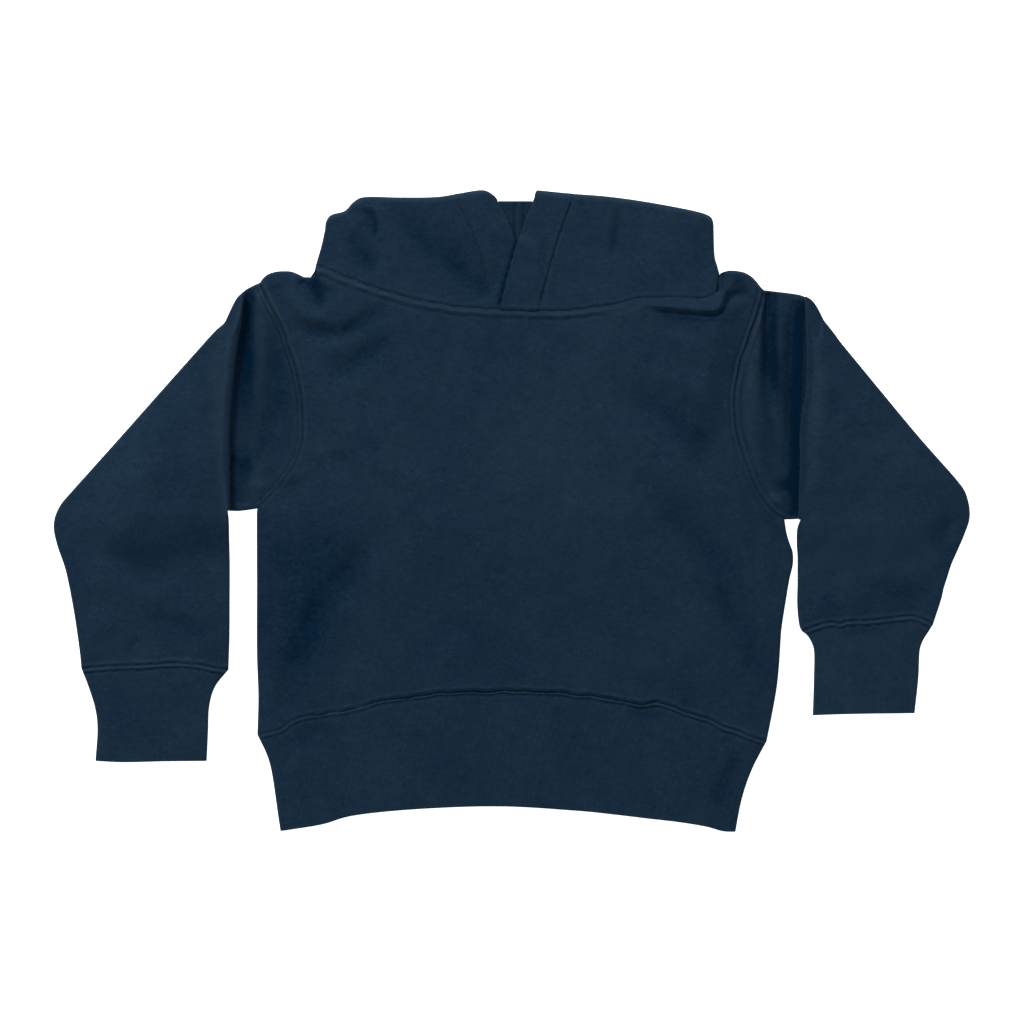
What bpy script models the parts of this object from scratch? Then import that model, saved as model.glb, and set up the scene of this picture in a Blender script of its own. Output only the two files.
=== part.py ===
"""A toddler's pullover hoodie in fleece, laid flat on its back with the hood turned down behind it.

Sizes are in millimetres and are scaled to metres when a mesh is made. +X is to the right as the front is
seen, +Y runs from the hem to the hood, and +Z points up from the surface that the garment lies on.
Left and right are those of somebody looking at the front.

Each piece that is cut and sewn on is one solid: a wall of cloth between an outer and an inner skin of
points. Every skin is a grid. Its rows and columns come from the piece's outline, which is a smooth curve
through a few places, and its heights come from how the layers lie on each other.
"""

import math

import bmesh
import bpy
import numpy as np

MM = 0.001

# Cloth
FLEECE = 1.7          # thickness of the fleece
RIB = 1.9             # thickness of the doubled rib of the cuffs and waistband
SEAM_GAP = 0.3        # between two pieces where they are sewn together
TUBE = 4.5            # height of a tube of cloth that is pressed flat
PITCH = TUBE + SEAM_GAP
HALF = TUBE / 2
FOLD_RADIUS = PITCH / 2

# Loft of the cloth
TORSO_LOFT = 2.5      # how far the front stands up off the back
SLEEVE_LOFT = 2.2
RIB_LOFT = 0.8

# Hem round the face opening
HEM_BAND = 22.0
BAND_RISE = 0.7
OVERLAP_LIFT = 1.75   # the right edge of the face opening, over
OVERLAP_DROP = 1.0    # the left one

ARC = np.radians([0, 45, 90])                 # steps round an edge where the cloth turns over
TURN = np.radians([0, 45, 90, 135, 180])      # steps round a fold of a whole tube


# Outlines. Every list is a row of (x, y) places, in the order in which its name says.

WAIST_SEAM = [(-162.6, -143.0), (-149, -139.5), (-134, -131.0), (-106, -128.0), (-77, -119.5),
              (-37, -115.0), (0, -114.2), (37, -116.0), (62, -119.6), (80, -123.6), (94, -123.2),
              (122, -132.0), (163.2, -147.2)]
HEM = [(-146.6, -204.6), (-122, -199.8), (-101, -194.2), (-60, -189.4), (-8, -187.8), (40, -190.4),
       (87, -196.2), (124, -201.0), (135, -204.8), (141.4, -205.2)]

SIDE = {
    "left": [(-162.6, -143.0), (-163.4, -120), (-163.8, -88.6), (-163.0, -45), (-162.6, 2.6)],
    "right": [(163.2, -147.2), (165.8, -127), (169.6, -101), (171.5, -76), (175.4, -50),
              (178.8, -28), (177.4, -14), (174.6, -5.0)],
}
BAND_SIDE = {
    "left": [(-162.0, -143.4), (-155.6, -157), (-151.4, -172), (-148.6, -188), (-146.6, -204.6)],
    "right": [(162.4, -147.6), (155.4, -162), (149.4, -174.6), (146.0, -188), (141.4, -204.8)],
}
ARMHOLE = {  # from the underarm up to the shoulder
    "left": [(-162.6, 2.6), (-151.4, 13.6), (-140.6, 27.8), (-133.9, 45), (-133.0, 65), (-137, 88),
             (-147, 116.8), (-154.6, 131.5), (-160.6, 142.4)],
    "right": [(174.6, -5.0), (166.4, 0.6), (156.8, 14.4), (148.4, 35), (143.4, 55.4), (142.8, 76),
              (147.2, 98), (154, 117), (160.4, 140.4)],
}
SHOULDER = {  # from the armhole over the shoulder to the end of the neck seam
    "left": [(-160.6, 142.4), (-155, 149.0), (-147.6, 153.4), (-138.4, 152.6), (-130.8, 149.6),
             (-125.4, 158.2)],
    "right": [(160.4, 140.4), (157.2, 144.4), (151, 150.0), (143, 153.4), (135.6, 152.0),
              (131.6, 140.8)],
}
FRONT_NECK = [(-125.4, 158.2), (-110, 153.4), (-82, 143.6), (-60, 136.8), (-36, 132.3), (-6.4, 130.4),
              (20, 129.6), (44, 131), (70, 134.4), (92, 137.6), (112, 137.0), (131.6, 140.8)]
BACK_NECK = [(-125.4, 158.2), (-90, 161.5), (-40, 165.5), (4, 166.5), (60, 164), (105, 156),
             (131.6, 140.8)]

HOOD_CENTRE = 4.0     # the seam up the back of the hood
HOOD_SIDE = {  # from the neck seam up to the turned-down top
    "left": [(-125.4, 158.5), (-122, 168.6), (-119.6, 178)],
    "right": [(131.6, 141.1), (132.2, 152.6), (129.6, 162), (129.0, 178)],
}
HOOD_TOP = {  # from the side to the edge of the face opening
    "left": [(-119.6, 184.0), (-115, 189.4), (-107, 192.0), (-101.6, 197.6), (-94, 200.6),
             (-72, 200.3), (-50, 200.8), (-35, 202.8), (-19, 205.2), (-10.6, 203.4)],
    "right": [(129.0, 182.0), (126, 188.4), (116, 191.6), (87, 197), (61, 200.6), (35, 202.8),
              (16.2, 205.0)],
}
FACE_EDGE = {  # from the neck seam up to the turned-down top; the right edge lies over the left one
    "left": [(14.6, 130.6), (9.5, 148), (1.6, 171), (-10.6, 203.8)],
    "right": [(-7.6, 131.4), (-3.4, 148), (3.6, 171), (16.2, 205.4)],
}
BACK_TOP = 197.6      # where the back of the hood turns down, inside the face opening

# The hood behind the garment, by how far it hangs below its fold.
TUCKED_LENGTH = 192.0
TUCKED = [  # (share of the length, half its width, half the width of the face opening)
    (0.00, 121.5, 12.0),
    (0.15, 119.0, 24.0),
    (0.35, 115.0, 35.0),
    (0.55, 108.0, 36.0),
    (0.72, 99.0, 24.0),
    (0.84, 88.0, 1.0),
    (0.94, 70.0, 0.15),
    (1.00, 46.0, 0.15),
]
TUCKED_MARGIN = 12.0  # the torso stays level this far beyond it,
TUCKED_RAMP = 20.0    # and slopes down to the surface over this width at its sides,
TUCKED_RUN = 72.0     # and over this one past its lower end

# A sleeve lies in three layers beside the armhole: it runs out, turns back at a hidden fold, and turns
# out again at the fold that shows. Its lists run from the shoulder down, or from the armhole out.
SLEEVE = {
    "left": {
        "outward": -1,
        "cap": [(-160.6, 142.4), (-166, 142.0), (-170.6, 139.2), (-175.2, 132.5)],
        "hidden_fold": [(-175.2, 132.5), (-180.8, 121.5), (-188, 108), (-198, 90), (-212, 62),
                        (-226, 28), (-229, 5)],
        "underarm": [(-162.6, 2.6), (-172, 1.8), (-182, 2.4), (-206, 3.6), (-229, 5)],
        "fold": [(-170.4, 137.8), (-175.4, 125), (-179.8, 108), (-181.4, 71), (-181.6, 36), (-181.8, 2.4)],
        "outer": [(-171.6, 137.8), (-175.6, 135), (-179.8, 129), (-183.2, 121.2), (-190, 115.4), (-201, 103.4),
                  (-247, 52.2), (-280.2, 14), (-289.6, 2.4), (-292.8, -8.4), (-290.4, -22),
                  (-285.4, -38), (-280.4, -63), (-276.6, -88), (-275.2, -99.6)],
        "inner": [(-183.4, 2.4), (-183.2, -6), (-182.4, -20), (-182.0, -40), (-182.2, -60), (-181.8, -97.6)],
        "cuff_seam": [(-275.2, -99.6), (-250, -97.8), (-222, -96.0), (-200, -95.4), (-181.8, -97.6)],
    },
    "right": {
        "outward": 1,
        "cap": [(160.4, 140.4), (171.5, 139.6), (180, 138.0), (186.4, 134.6), (191.5, 128)],
        "hidden_fold": [(191.5, 128), (194.6, 118.5), (201, 108), (211, 88), (225, 55), (234, 22), (236, 0)],
        "underarm": [(174.6, -5.0), (179, -3.4), (183.6, -2.4), (206, -1), (236, 0)],
        "fold": [(186.6, 133.6), (188.9, 124), (189.0, 108), (187.0, 71), (185, 45), (184.2, 20),
                 (183.6, -3.2)],
        "outer": [(187.8, 133.6), (192, 131), (195.4, 126.4), (198.6, 118.4), (204, 113.6), (213.8, 103.4),
                  (256.6, 52.2), (284, 19.6), (290.6, 8.6), (292.8, -3.6), (289.6, -14), (284, -26),
                  (279.2, -38), (273.8, -55), (268.6, -66.8)],
        "inner": [(185.2, -3.2), (185.0, -10), (184.2, -22), (183.5, -37), (184.0, -60), (185.4, -74.6)],
        "cuff_seam": [(268.6, -66.8), (256, -64.0), (234, -66.2), (212, -71.0), (196, -70.4),
                      (185.4, -74.6)],
    },
}
CUFF = {
    "left": {
        "outer": [(-275.0, -100.0), (-270, -113.5), (-265.8, -127), (-264.4, -140), (-265.8, -159.8)],
        "inner": [(-182.0, -98.0), (-191.6, -112.5), (-195.2, -125), (-195.8, -140), (-196.6, -159.8)],
        "end": [(-265.8, -159.8), (-248, -160.6), (-222, -160.0), (-196.6, -159.8)],
    },
    "right": {
        "outer": [(268.2, -67.4), (264.6, -77), (260.2, -90), (259.2, -106), (256.8, -127.8)],
        "inner": [(185.8, -75.0), (190.4, -79.6), (193.8, -88), (193.9, -104), (193.4, -128.4)],
        "end": [(256.8, -127.8), (230, -127.8), (193.4, -128.4)],
    },
}

# Soft folds: where each runs, how wide it is and how far it stands up (or sinks, below 0).
TORSO_FOLDS = [
    {"name": "roll along the left shoulder", "width": 9.0, "rise": 1.8,
     "path": [(-153, 138), (-144, 131), (-134, 128), (-122, 126)]},
    {"name": "trough from the left armhole below the neck", "width": 9.0, "rise": -2.0,
     "path": [(-150, 128), (-140, 118), (-125, 111), (-106, 112), (-84, 120), (-66, 123)]},
    {"name": "trough down the left side", "width": 12.0, "rise": -1.6,
     "path": [(-77, -2), (-104, -22), (-120, -48), (-130, -72), (-140, -104), (-146, -128)]},
    {"name": "roll inside the right shoulder", "width": 10.0, "rise": 1.6,
     "path": [(92, 112), (108, 98), (118, 80)]},
    {"name": "hollow below the right shoulder", "width": 14.0, "rise": -1.6,
     "path": [(92, 74), (114, 56), (134, 36), (146, 8)]},
    {"name": "trough down the right side", "width": 12.0, "rise": -1.6,
     "path": [(80, 22), (106, -4), (131, -27), (140, -58), (147, -84), (154, -104), (158, -120)]},
]
SLEEVE_FOLDS = [
    {"name": "hollow inside the left elbow", "width": 20.0, "rise": -1.3,
     "path": [(-262, -22), (-236, -38), (-214, -36)]},
    {"name": "hollow above the left cuff", "width": 12.0, "rise": -1.3,
     "path": [(-226, -76), (-206, -72), (-194, -80)]},
    {"name": "hollow inside the right elbow", "width": 14.0, "rise": -1.3,
     "path": [(282, -8), (270, -20), (258, -30)]},
    {"name": "hollow above the right cuff", "width": 13.0, "rise": -1.3,
     "path": [(258, -52), (240, -46), (222, -52)]},
]
HOOD_FOLDS = [
    {"name": "trough behind the left top corner", "width": 9.0, "rise": -1.6,
     "path": [(-104, 188), (-96, 170), (-88, 158), (-82, 148)]},
    {"name": "broad hollow beside the left band", "width": 13.0, "rise": -1.2,
     "path": [(-64, 190), (-46, 168), (-34, 148)]},
]


# Curves and surfaces

class Outline:
    """A smooth curve through places, read by its share of the length from 0 to 1."""

    def __init__(self, places, steps=16):
        places = np.array(places, float)
        ends = 2 * places[[0, -1]] - places[[1, -2]]
        knots = np.vstack([ends[:1], places, ends[1:]])
        t = np.linspace(0, 1, steps, endpoint=False)[:, None]
        spans = []
        for a, b, c, d in zip(knots, knots[1:], knots[2:], knots[3:]):
            spans.append(b + t / 2 * (c - a + t * (2 * a - 5 * b + 4 * c - d + t * (3 * (b - c) + d - a))))
        self.points = np.vstack([*spans, places[-1:]])
        lengths = np.linalg.norm(np.diff(self.points, axis=0), axis=1)
        self.length = lengths.sum()
        self.share = np.concatenate([[0], np.cumsum(lengths)]) / self.length

    def at(self, share):
        return np.stack([np.interp(share, self.share, self.points[:, k]) for k in (0, 1)], axis=-1)

    def y_at(self, x):
        """The y over an x, on a curve that runs across."""
        order = np.argsort(self.points[:, 0])
        return np.interp(x, self.points[order, 0], self.points[order, 1])

    def moved(self, distance):
        """The curve moved sideways, to the right of its direction."""
        run = np.gradient(self.points, axis=0)
        run /= np.linalg.norm(run, axis=1)[:, None]
        return Outline(self.points + distance * np.stack([run[:, 1], -run[:, 0]], axis=1), steps=1)

    def away(self, x, y):
        """Distance of x, y from the curve, and the share of the curve that is nearest."""
        gap = np.hypot(x[..., None] - self.points[:, 0], y[..., None] - self.points[:, 1])
        return gap.min(axis=-1), self.share[gap.argmin(axis=-1)]


def chain(*outlines):
    """Reads curves that follow each other by one number: 0 to 1 on the first, 1 to 2 on the second."""
    def at(number):
        number = np.asarray(number, float)
        which = np.clip(np.ceil(number) - 1, 0, len(outlines) - 1)
        place = np.zeros(number.shape + (2,))
        for k, outline in enumerate(outlines):
            place[which == k] = outline.at(number[which == k] - k)
        return place
    return at


def between(places, start, end):
    """A curve through places whose two ends are moved on to other points."""
    return Outline([tuple(start), *places[1:-1], tuple(end)])


def patch(u, v, near, far, first, last, bend=1):
    """Plan of a surface from its edges: near and far at v = 0 and 1, first and last at u = 0 and 1.
    The shapes of near and far fade inwards, faster with a higher bend."""
    u, v = u[..., None], v[..., None]
    near_shape = near[1] - (1 - u) * near[0] - u * near[-1]
    far_shape = far[1] - (1 - u) * far[0] - u * far[-1]
    return (1 - u) * first + u * last + (1 - v) ** bend * near_shape + v ** bend * far_shape


def edge_of(curve, number, low=0.0, high=1.0):
    """The start, the places at a number and the end of a curve, as a patch needs them."""
    return curve(np.float64(low)), curve(number), curve(np.float64(high))


def smooth(x):
    """0 below 0, 1 above 1, and a smooth step between."""
    x = np.clip(x, 0, 1)
    return x * x * (3 - 2 * x)


def folds(table, x, y):
    """Height of all the soft folds of a table at x, y."""
    height = np.zeros_like(x)
    for fold in table:
        gap, share = Outline(fold["path"], steps=6).away(x, y)
        height += fold["rise"] * np.sin(math.pi * (0.08 + 0.84 * share)) * np.exp(-(gap / fold["width"]) ** 2)
    return height


# How the layers lie on each other

LOWEST = 2 * FLEECE + SEAM_GAP + 0.1


def tucked_half(share):
    table = np.array(TUCKED)
    return np.interp(share, table[:, 0], table[:, 1])


def torso_base(x, y):
    """Height of the torso's underside, which lies on the surface and on the hood tucked behind it."""
    share = (BACK_TOP - y) / TUCKED_LENGTH
    beside = np.abs(x - HOOD_CENTRE)
    edge = [(half, BACK_TOP - TUCKED_LENGTH * part) for part, half, _ in TUCKED]
    edge = Outline([(TUCKED[0][1], BACK_TOP + 20), *edge, (0, BACK_TOP - TUCKED_LENGTH)], steps=6)
    outside = np.where((share < 1) & (beside < tucked_half(share)), 0, edge.away(beside, y)[0])
    ramp = TUCKED_RAMP + (TUCKED_RUN - TUCKED_RAMP) * smooth((40 - y) / 50)
    return PITCH * smooth(1 - (outside - TUCKED_MARGIN) / ramp)


def torso_height(x, y):
    """From the underside of the torso to its top: a pressed tube, with its loft and folds."""
    above_underarm = smooth((y - 4) / 30)
    inside = np.where(x < 0, 162.6 + 4 * above_underarm + x, 176 - 7 * above_underarm - x)
    loft = smooth(inside / (32 - 18 * above_underarm)) * (0.3 + 0.7 * smooth((165 - y) / 40))
    loft *= 0.45 + 0.55 * smooth((y + 140) / 30)
    return np.maximum(TUBE + TORSO_LOFT * loft + folds(TORSO_FOLDS + HOOD_FOLDS, x, y), LOWEST)


# Rounding of an edge where the cloth turns over. Both skins are quarter rings about the same centre.

def turned_places(inset):
    """Distances from the edge at which a skin has its points."""
    return inset + (HALF - inset) * (1 - np.cos(ARC))


def turned_rise(away, inset):
    """Share of the full height that a skin reaches at a distance from the edge."""
    radius = HALF - inset
    run = np.clip(HALF - np.clip(away, inset, HALF), 0, radius)
    return np.sqrt(radius ** 2 - run ** 2) / radius


# Walls

def wall(name, outer, inner, material, closed=False):
    """One solid between two grids of points. The columns of a closed one go all the way round."""
    rows, columns = outer.shape[:2]
    bm = bmesh.new()
    skins = [[[bm.verts.new(point * MM) for point in row] for row in skin] for skin in (outer, inner)]
    a, b = skins
    last = columns if closed else columns - 1
    for i in range(rows - 1):
        for j in range(last):
            k = (j + 1) % columns
            bm.faces.new([a[i][j], a[i][k], a[i + 1][k], a[i + 1][j]])
            bm.faces.new([b[i + 1][j], b[i + 1][k], b[i][k], b[i][j]])
    for j in range(last):
        k = (j + 1) % columns
        bm.faces.new([a[0][k], a[0][j], b[0][j], b[0][k]])
        bm.faces.new([a[-1][j], a[-1][k], b[-1][k], b[-1][j]])
    if not closed:
        for i in range(rows - 1):
            bm.faces.new([a[i][0], a[i + 1][0], b[i + 1][0], b[i][0]])
            bm.faces.new([a[i + 1][-1], a[i][-1], b[i][-1], b[i + 1][-1]])
    bmesh.ops.recalc_face_normals(bm, faces=bm.faces)
    mesh = bpy.data.meshes.new(name)
    bm.to_mesh(mesh)
    bm.free()
    mesh.shade_smooth()
    mesh.set_sharp_from_angle(angle=math.radians(50))
    mesh.materials.append(material)
    obj = bpy.data.objects.new(name, mesh)
    bpy.data.collections["Toddler hoodie"].objects.link(obj)
    return obj


def points(plan, height):
    return np.concatenate([plan, height[..., None]], axis=-1)


# Torso

NECK_SHARES = np.linspace(0, 1, 13)[1:-1]        # columns along the neck seam
WAIST_NUMBERS = ([0, 1, 2, 3], [0, 0.115, 0.885, 1])  # where those of the top meet the waist seam


def neck_line(front):
    """The neck seam with its corners at the columns of the panel that is sewn to it."""
    neck = Outline(FRONT_NECK if front else BACK_NECK)
    corner = turned_places(0) / neck.length
    return Outline(neck.at(np.concatenate([corner, NECK_SHARES, 1 - corner[::-1]])), steps=1)


def torso_grid(neck, inset):
    """Plan of the front or back. Numbers run 0-3 along the top (shoulder, neck, shoulder), 0-2 up a side."""
    shoulder = Outline(SHOULDER["left"]).length
    arm = Outline(ARMHOLE["left"]).length
    flat, turned = turned_places(0), turned_places(inset)

    def columns(side_edge, corner):
        corner = corner / neck.length
        left = np.concatenate([side_edge / shoulder, [0.36, 0.7, 1.0], 1 + corner])
        return np.concatenate([left, 1 + NECK_SHARES, 3 - left[::-1]])

    def rows(corner, top):
        sides = np.linspace(0, 1, 9)[:-1]
        arms = np.linspace(0, 1, 9)[1:-1]
        return np.concatenate([sides, 1 + corner / arm, 1 + arms, 2 - top[::-1] / arm])

    up_shoulder, up_neck = rows(turned, turned), rows(turned, flat)
    across_side, across_arm = columns(turned, turned[1:]), columns(flat, turned[1:])
    side_row = (up_neck < 1)[:, None]
    across = np.where(side_row, across_side[None, :], across_arm[None, :])
    at_shoulder = ((across_arm < 1) | (across_arm > 2))[None, :]
    up = np.where(at_shoulder, up_shoulder[:, None], up_neck[:, None])

    waist = Outline(WAIST_SEAM)
    top = chain(Outline(SHOULDER["left"]), neck, Outline(SHOULDER["right"][::-1]))
    left = chain(Outline(SIDE["left"]), Outline(ARMHOLE["left"]))
    right = chain(Outline(SIDE["right"]), Outline(ARMHOLE["right"]))
    u = np.interp(across, *WAIST_NUMBERS)
    return patch(u, up / 2, edge_of(waist.at, u), edge_of(top, across, 0, 3), left(up), right(up), 2)


def torso_panel(name, front, material):
    neck = Outline(FRONT_NECK if front else BACK_NECK)
    turned = [Outline(line[side]) for line in (SIDE, SHOULDER) for side in ("left", "right")]
    skins = []
    for inset in (0, FLEECE):
        plan = torso_grid(neck, inset)
        x, y = plan[..., 0], plan[..., 1]
        away = np.min([line.away(x, y)[0] for line in turned], axis=0)
        rise = turned_rise(away, inset)
        middle = HALF + (SEAM_GAP / 2 if front else -SEAM_GAP / 2)
        level = torso_height(x, y) - inset if front else inset
        skins.append(points(plan, torso_base(x, y) + middle + (level - middle) * rise))
    return wall(name, *skins, material)


# Tubes: sleeves, cuffs and waistband

def ring_places(width, inset, inner):
    """Shares across a pressed tube, and rises from its middle, for the points all the way round."""
    turned = turned_places(inset) / width
    across = np.concatenate([turned, inner, 1 - turned[::-1]])
    rise = np.concatenate([np.sin(ARC), np.ones(len(inner)), np.sin(ARC)[::-1]])
    return np.concatenate([across, across[-2:0:-1]]), np.concatenate([rise, -rise[-2:0:-1]])


def tube(name, rows, thickness, inner, material):
    """A closed wall. Each row has its plan as a function of the share across, its width, the direction of
    its upper side as (x, z), and the height of its middle and of the tube as functions of x, y."""
    skins = []
    for inset in (0, thickness):
        grid = []
        for row in rows:
            across, rise = ring_places(row["width"], inset, inner)
            plan = row["plan"](across)
            x, y = plan[:, 0], plan[:, 1]
            loft = row["height"](x, y) - TUBE
            side, up = row["normal"]
            side = side * squeeze(across) if side else 0
            offset = rise * (HALF - inset) + np.clip(rise, 0, None) * loft
            grid.append(np.stack([x + side * offset, y, row["middle"](x, y) + up * offset], axis=1))
        skins.append(np.array(grid))
    return wall(name, *skins, material, closed=True)


def span(line):
    return float(np.linalg.norm(np.diff(line, axis=0), axis=1).sum())


def patch_rows(shares, near, far, first, last, middle, height, normal=(0, 1), lag=1):
    """Rows across a patch between four curves. With a lag the rows fan out round the start of the last."""
    rows = []
    for v in shares:
        def plan(u, v=v):
            v = np.full_like(u, v)
            return patch(u, v, edge_of(near.at, u), edge_of(far.at, u), first.at(v), last.at(v ** lag))
        rows.append({"plan": plan, "width": span(plan(np.linspace(0, 1, 20))), "normal": normal,
                     "middle": middle, "height": height})
    return rows


def squeeze(u):
    """The folds of a whole tube are narrower towards their ends."""
    return 0.25 + 0.75 * smooth((u - 0.08) / 0.16) - 0.65 * smooth((u - 0.82) / 0.18)


def level(value):
    return lambda x, y: np.full_like(x, value)


def fold_rows(line, outward, centre, upper_inside):
    """Rows half way round a fold of the whole tube, about a line in plan at the height of its centre."""
    rows = []
    for turn in TURN[1:-1]:
        swing = math.sin(turn)
        inside = 1 if upper_inside else -1

        def plan(u, swing=swing):
            place = line.at(u)
            place[:, 0] += outward * PITCH / 2 * swing * squeeze(u)
            return place
        rows.append({"plan": plan, "width": line.length,
                     "normal": (-inside * outward * swing, inside * math.cos(turn)),
                     "middle": level(centre - PITCH / 2 * math.cos(turn)), "height": level(TUBE)})
    return rows


def sleeve(side, material):
    shape = SLEEVE[side]
    outward = shape["outward"]
    armhole = Outline(ARMHOLE[side][::-1]).moved(-outward * SEAM_GAP)
    fold = Outline(shape["fold"])
    fold_depth = PITCH / 2 + HALF
    shift = np.array([outward * fold_depth, 0]) * squeeze(fold.share)[:, None]
    fold_centre = Outline(fold.points + shift, steps=1)
    hidden = Outline(shape["hidden_fold"])
    cuff_seam = Outline(shape["cuff_seam"])

    cap = between(shape["cap"], armhole.points[0], hidden.points[0])
    underarm = between(shape["underarm"], armhole.points[-1], hidden.points[-1])
    back_top = Outline([hidden.points[0], fold_centre.points[0]], steps=4)
    back_bottom = Outline([hidden.points[-1], fold_centre.points[-1]], steps=4)
    outer = between(shape["outer"], fold_centre.points[0], cuff_seam.points[0])
    inner = between(shape["inner"], fold_centre.points[-1], cuff_seam.points[-1])

    def top_base(x, y):
        """The top layer lies on the two layers under it, and beyond them it slopes down to the surface."""
        fold_x = np.interp(y, hidden.points[::-1, 1], hidden.points[::-1, 0]) + outward * (fold_depth + 2)
        beyond = np.clip(outward * (x - fold_x), 0, None)
        below = np.clip(hidden.points[-1, 1] - 4 - y, 0, None)
        return 2 * PITCH * smooth(1 - np.hypot(beyond / 42, below / 34))

    def top_height(x, y):
        edge = np.minimum(outer.away(x, y)[0], inner.away(x, y)[0])
        ends = smooth(fold.away(x, y)[0] / 26) * (0.35 + 0.65 * smooth(cuff_seam.away(x, y)[0] / 16))
        loft = SLEEVE_LOFT * smooth(edge / 30) * ends
        return np.maximum(TUBE + loft + folds(SLEEVE_FOLDS, x, y) * smooth(edge / 12), LOWEST)

    rows = [
        *patch_rows([0, 0.45, 1], armhole, hidden, cap, underarm, level(HALF), torso_height),
        *fold_rows(hidden, outward, HALF + PITCH / 2, True),
        *patch_rows([0, 0.5, 1], hidden, fold_centre, back_top, back_bottom, level(HALF + PITCH),
                    level(TUBE), (0, -1)),
        *fold_rows(fold_centre, -outward, HALF + 1.5 * PITCH, False),
        *patch_rows([0, 0.07, 0.15, 0.24, 0.34, 0.45, 0.55, 0.62, 0.67, 0.72, 0.8, 0.9, 1], fold_centre,
                    cuff_seam, outer, inner, lambda x, y: HALF + top_base(x, y), top_height, lag=2.2),
    ]
    return tube(f"Sleeve_{side}", rows, FLEECE, np.linspace(0, 1, 9)[1:-1], material)


def cuff(side, material):
    shape = CUFF[side]
    seam = Outline(SLEEVE[side]["cuff_seam"]).moved(-SLEEVE[side]["outward"] * SEAM_GAP)
    end = Outline(shape["end"])
    outer = between(shape["outer"], seam.points[0], end.points[0])
    inner = between(shape["inner"], seam.points[-1], end.points[-1])

    def height(x, y):
        edge = np.minimum(outer.away(x, y)[0], inner.away(x, y)[0])
        return TUBE + RIB_LOFT * smooth(edge / 14)

    rows = patch_rows([0, 0.25, 0.5, 0.75, 1], seam, end, outer, inner, level(HALF), height)
    return tube(f"Cuff_{side}", rows, RIB, np.linspace(0, 1, 9)[1:-1], material)


def waistband(material):
    seam = Outline(WAIST_SEAM).moved(SEAM_GAP)
    end = Outline(HEM)
    first = between(BAND_SIDE["left"], seam.points[0], end.points[0])
    last = between(BAND_SIDE["right"], seam.points[-1], end.points[-1])

    def height(x, y):
        edge = np.minimum(first.away(x, y)[0], last.away(x, y)[0])
        return TUBE + RIB_LOFT * smooth(edge / 20)

    rows = patch_rows([0, 0.2, 0.4, 0.6, 0.8, 1], seam, end, first, last, level(HALF), height)
    across = np.concatenate([[0.36, 0.7, 1.0], 1 + NECK_SHARES, [2.0, 2.3, 2.64]])
    return tube("Waistband", rows, RIB, np.interp(across, *WAIST_NUMBERS), material)


# Hood

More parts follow.
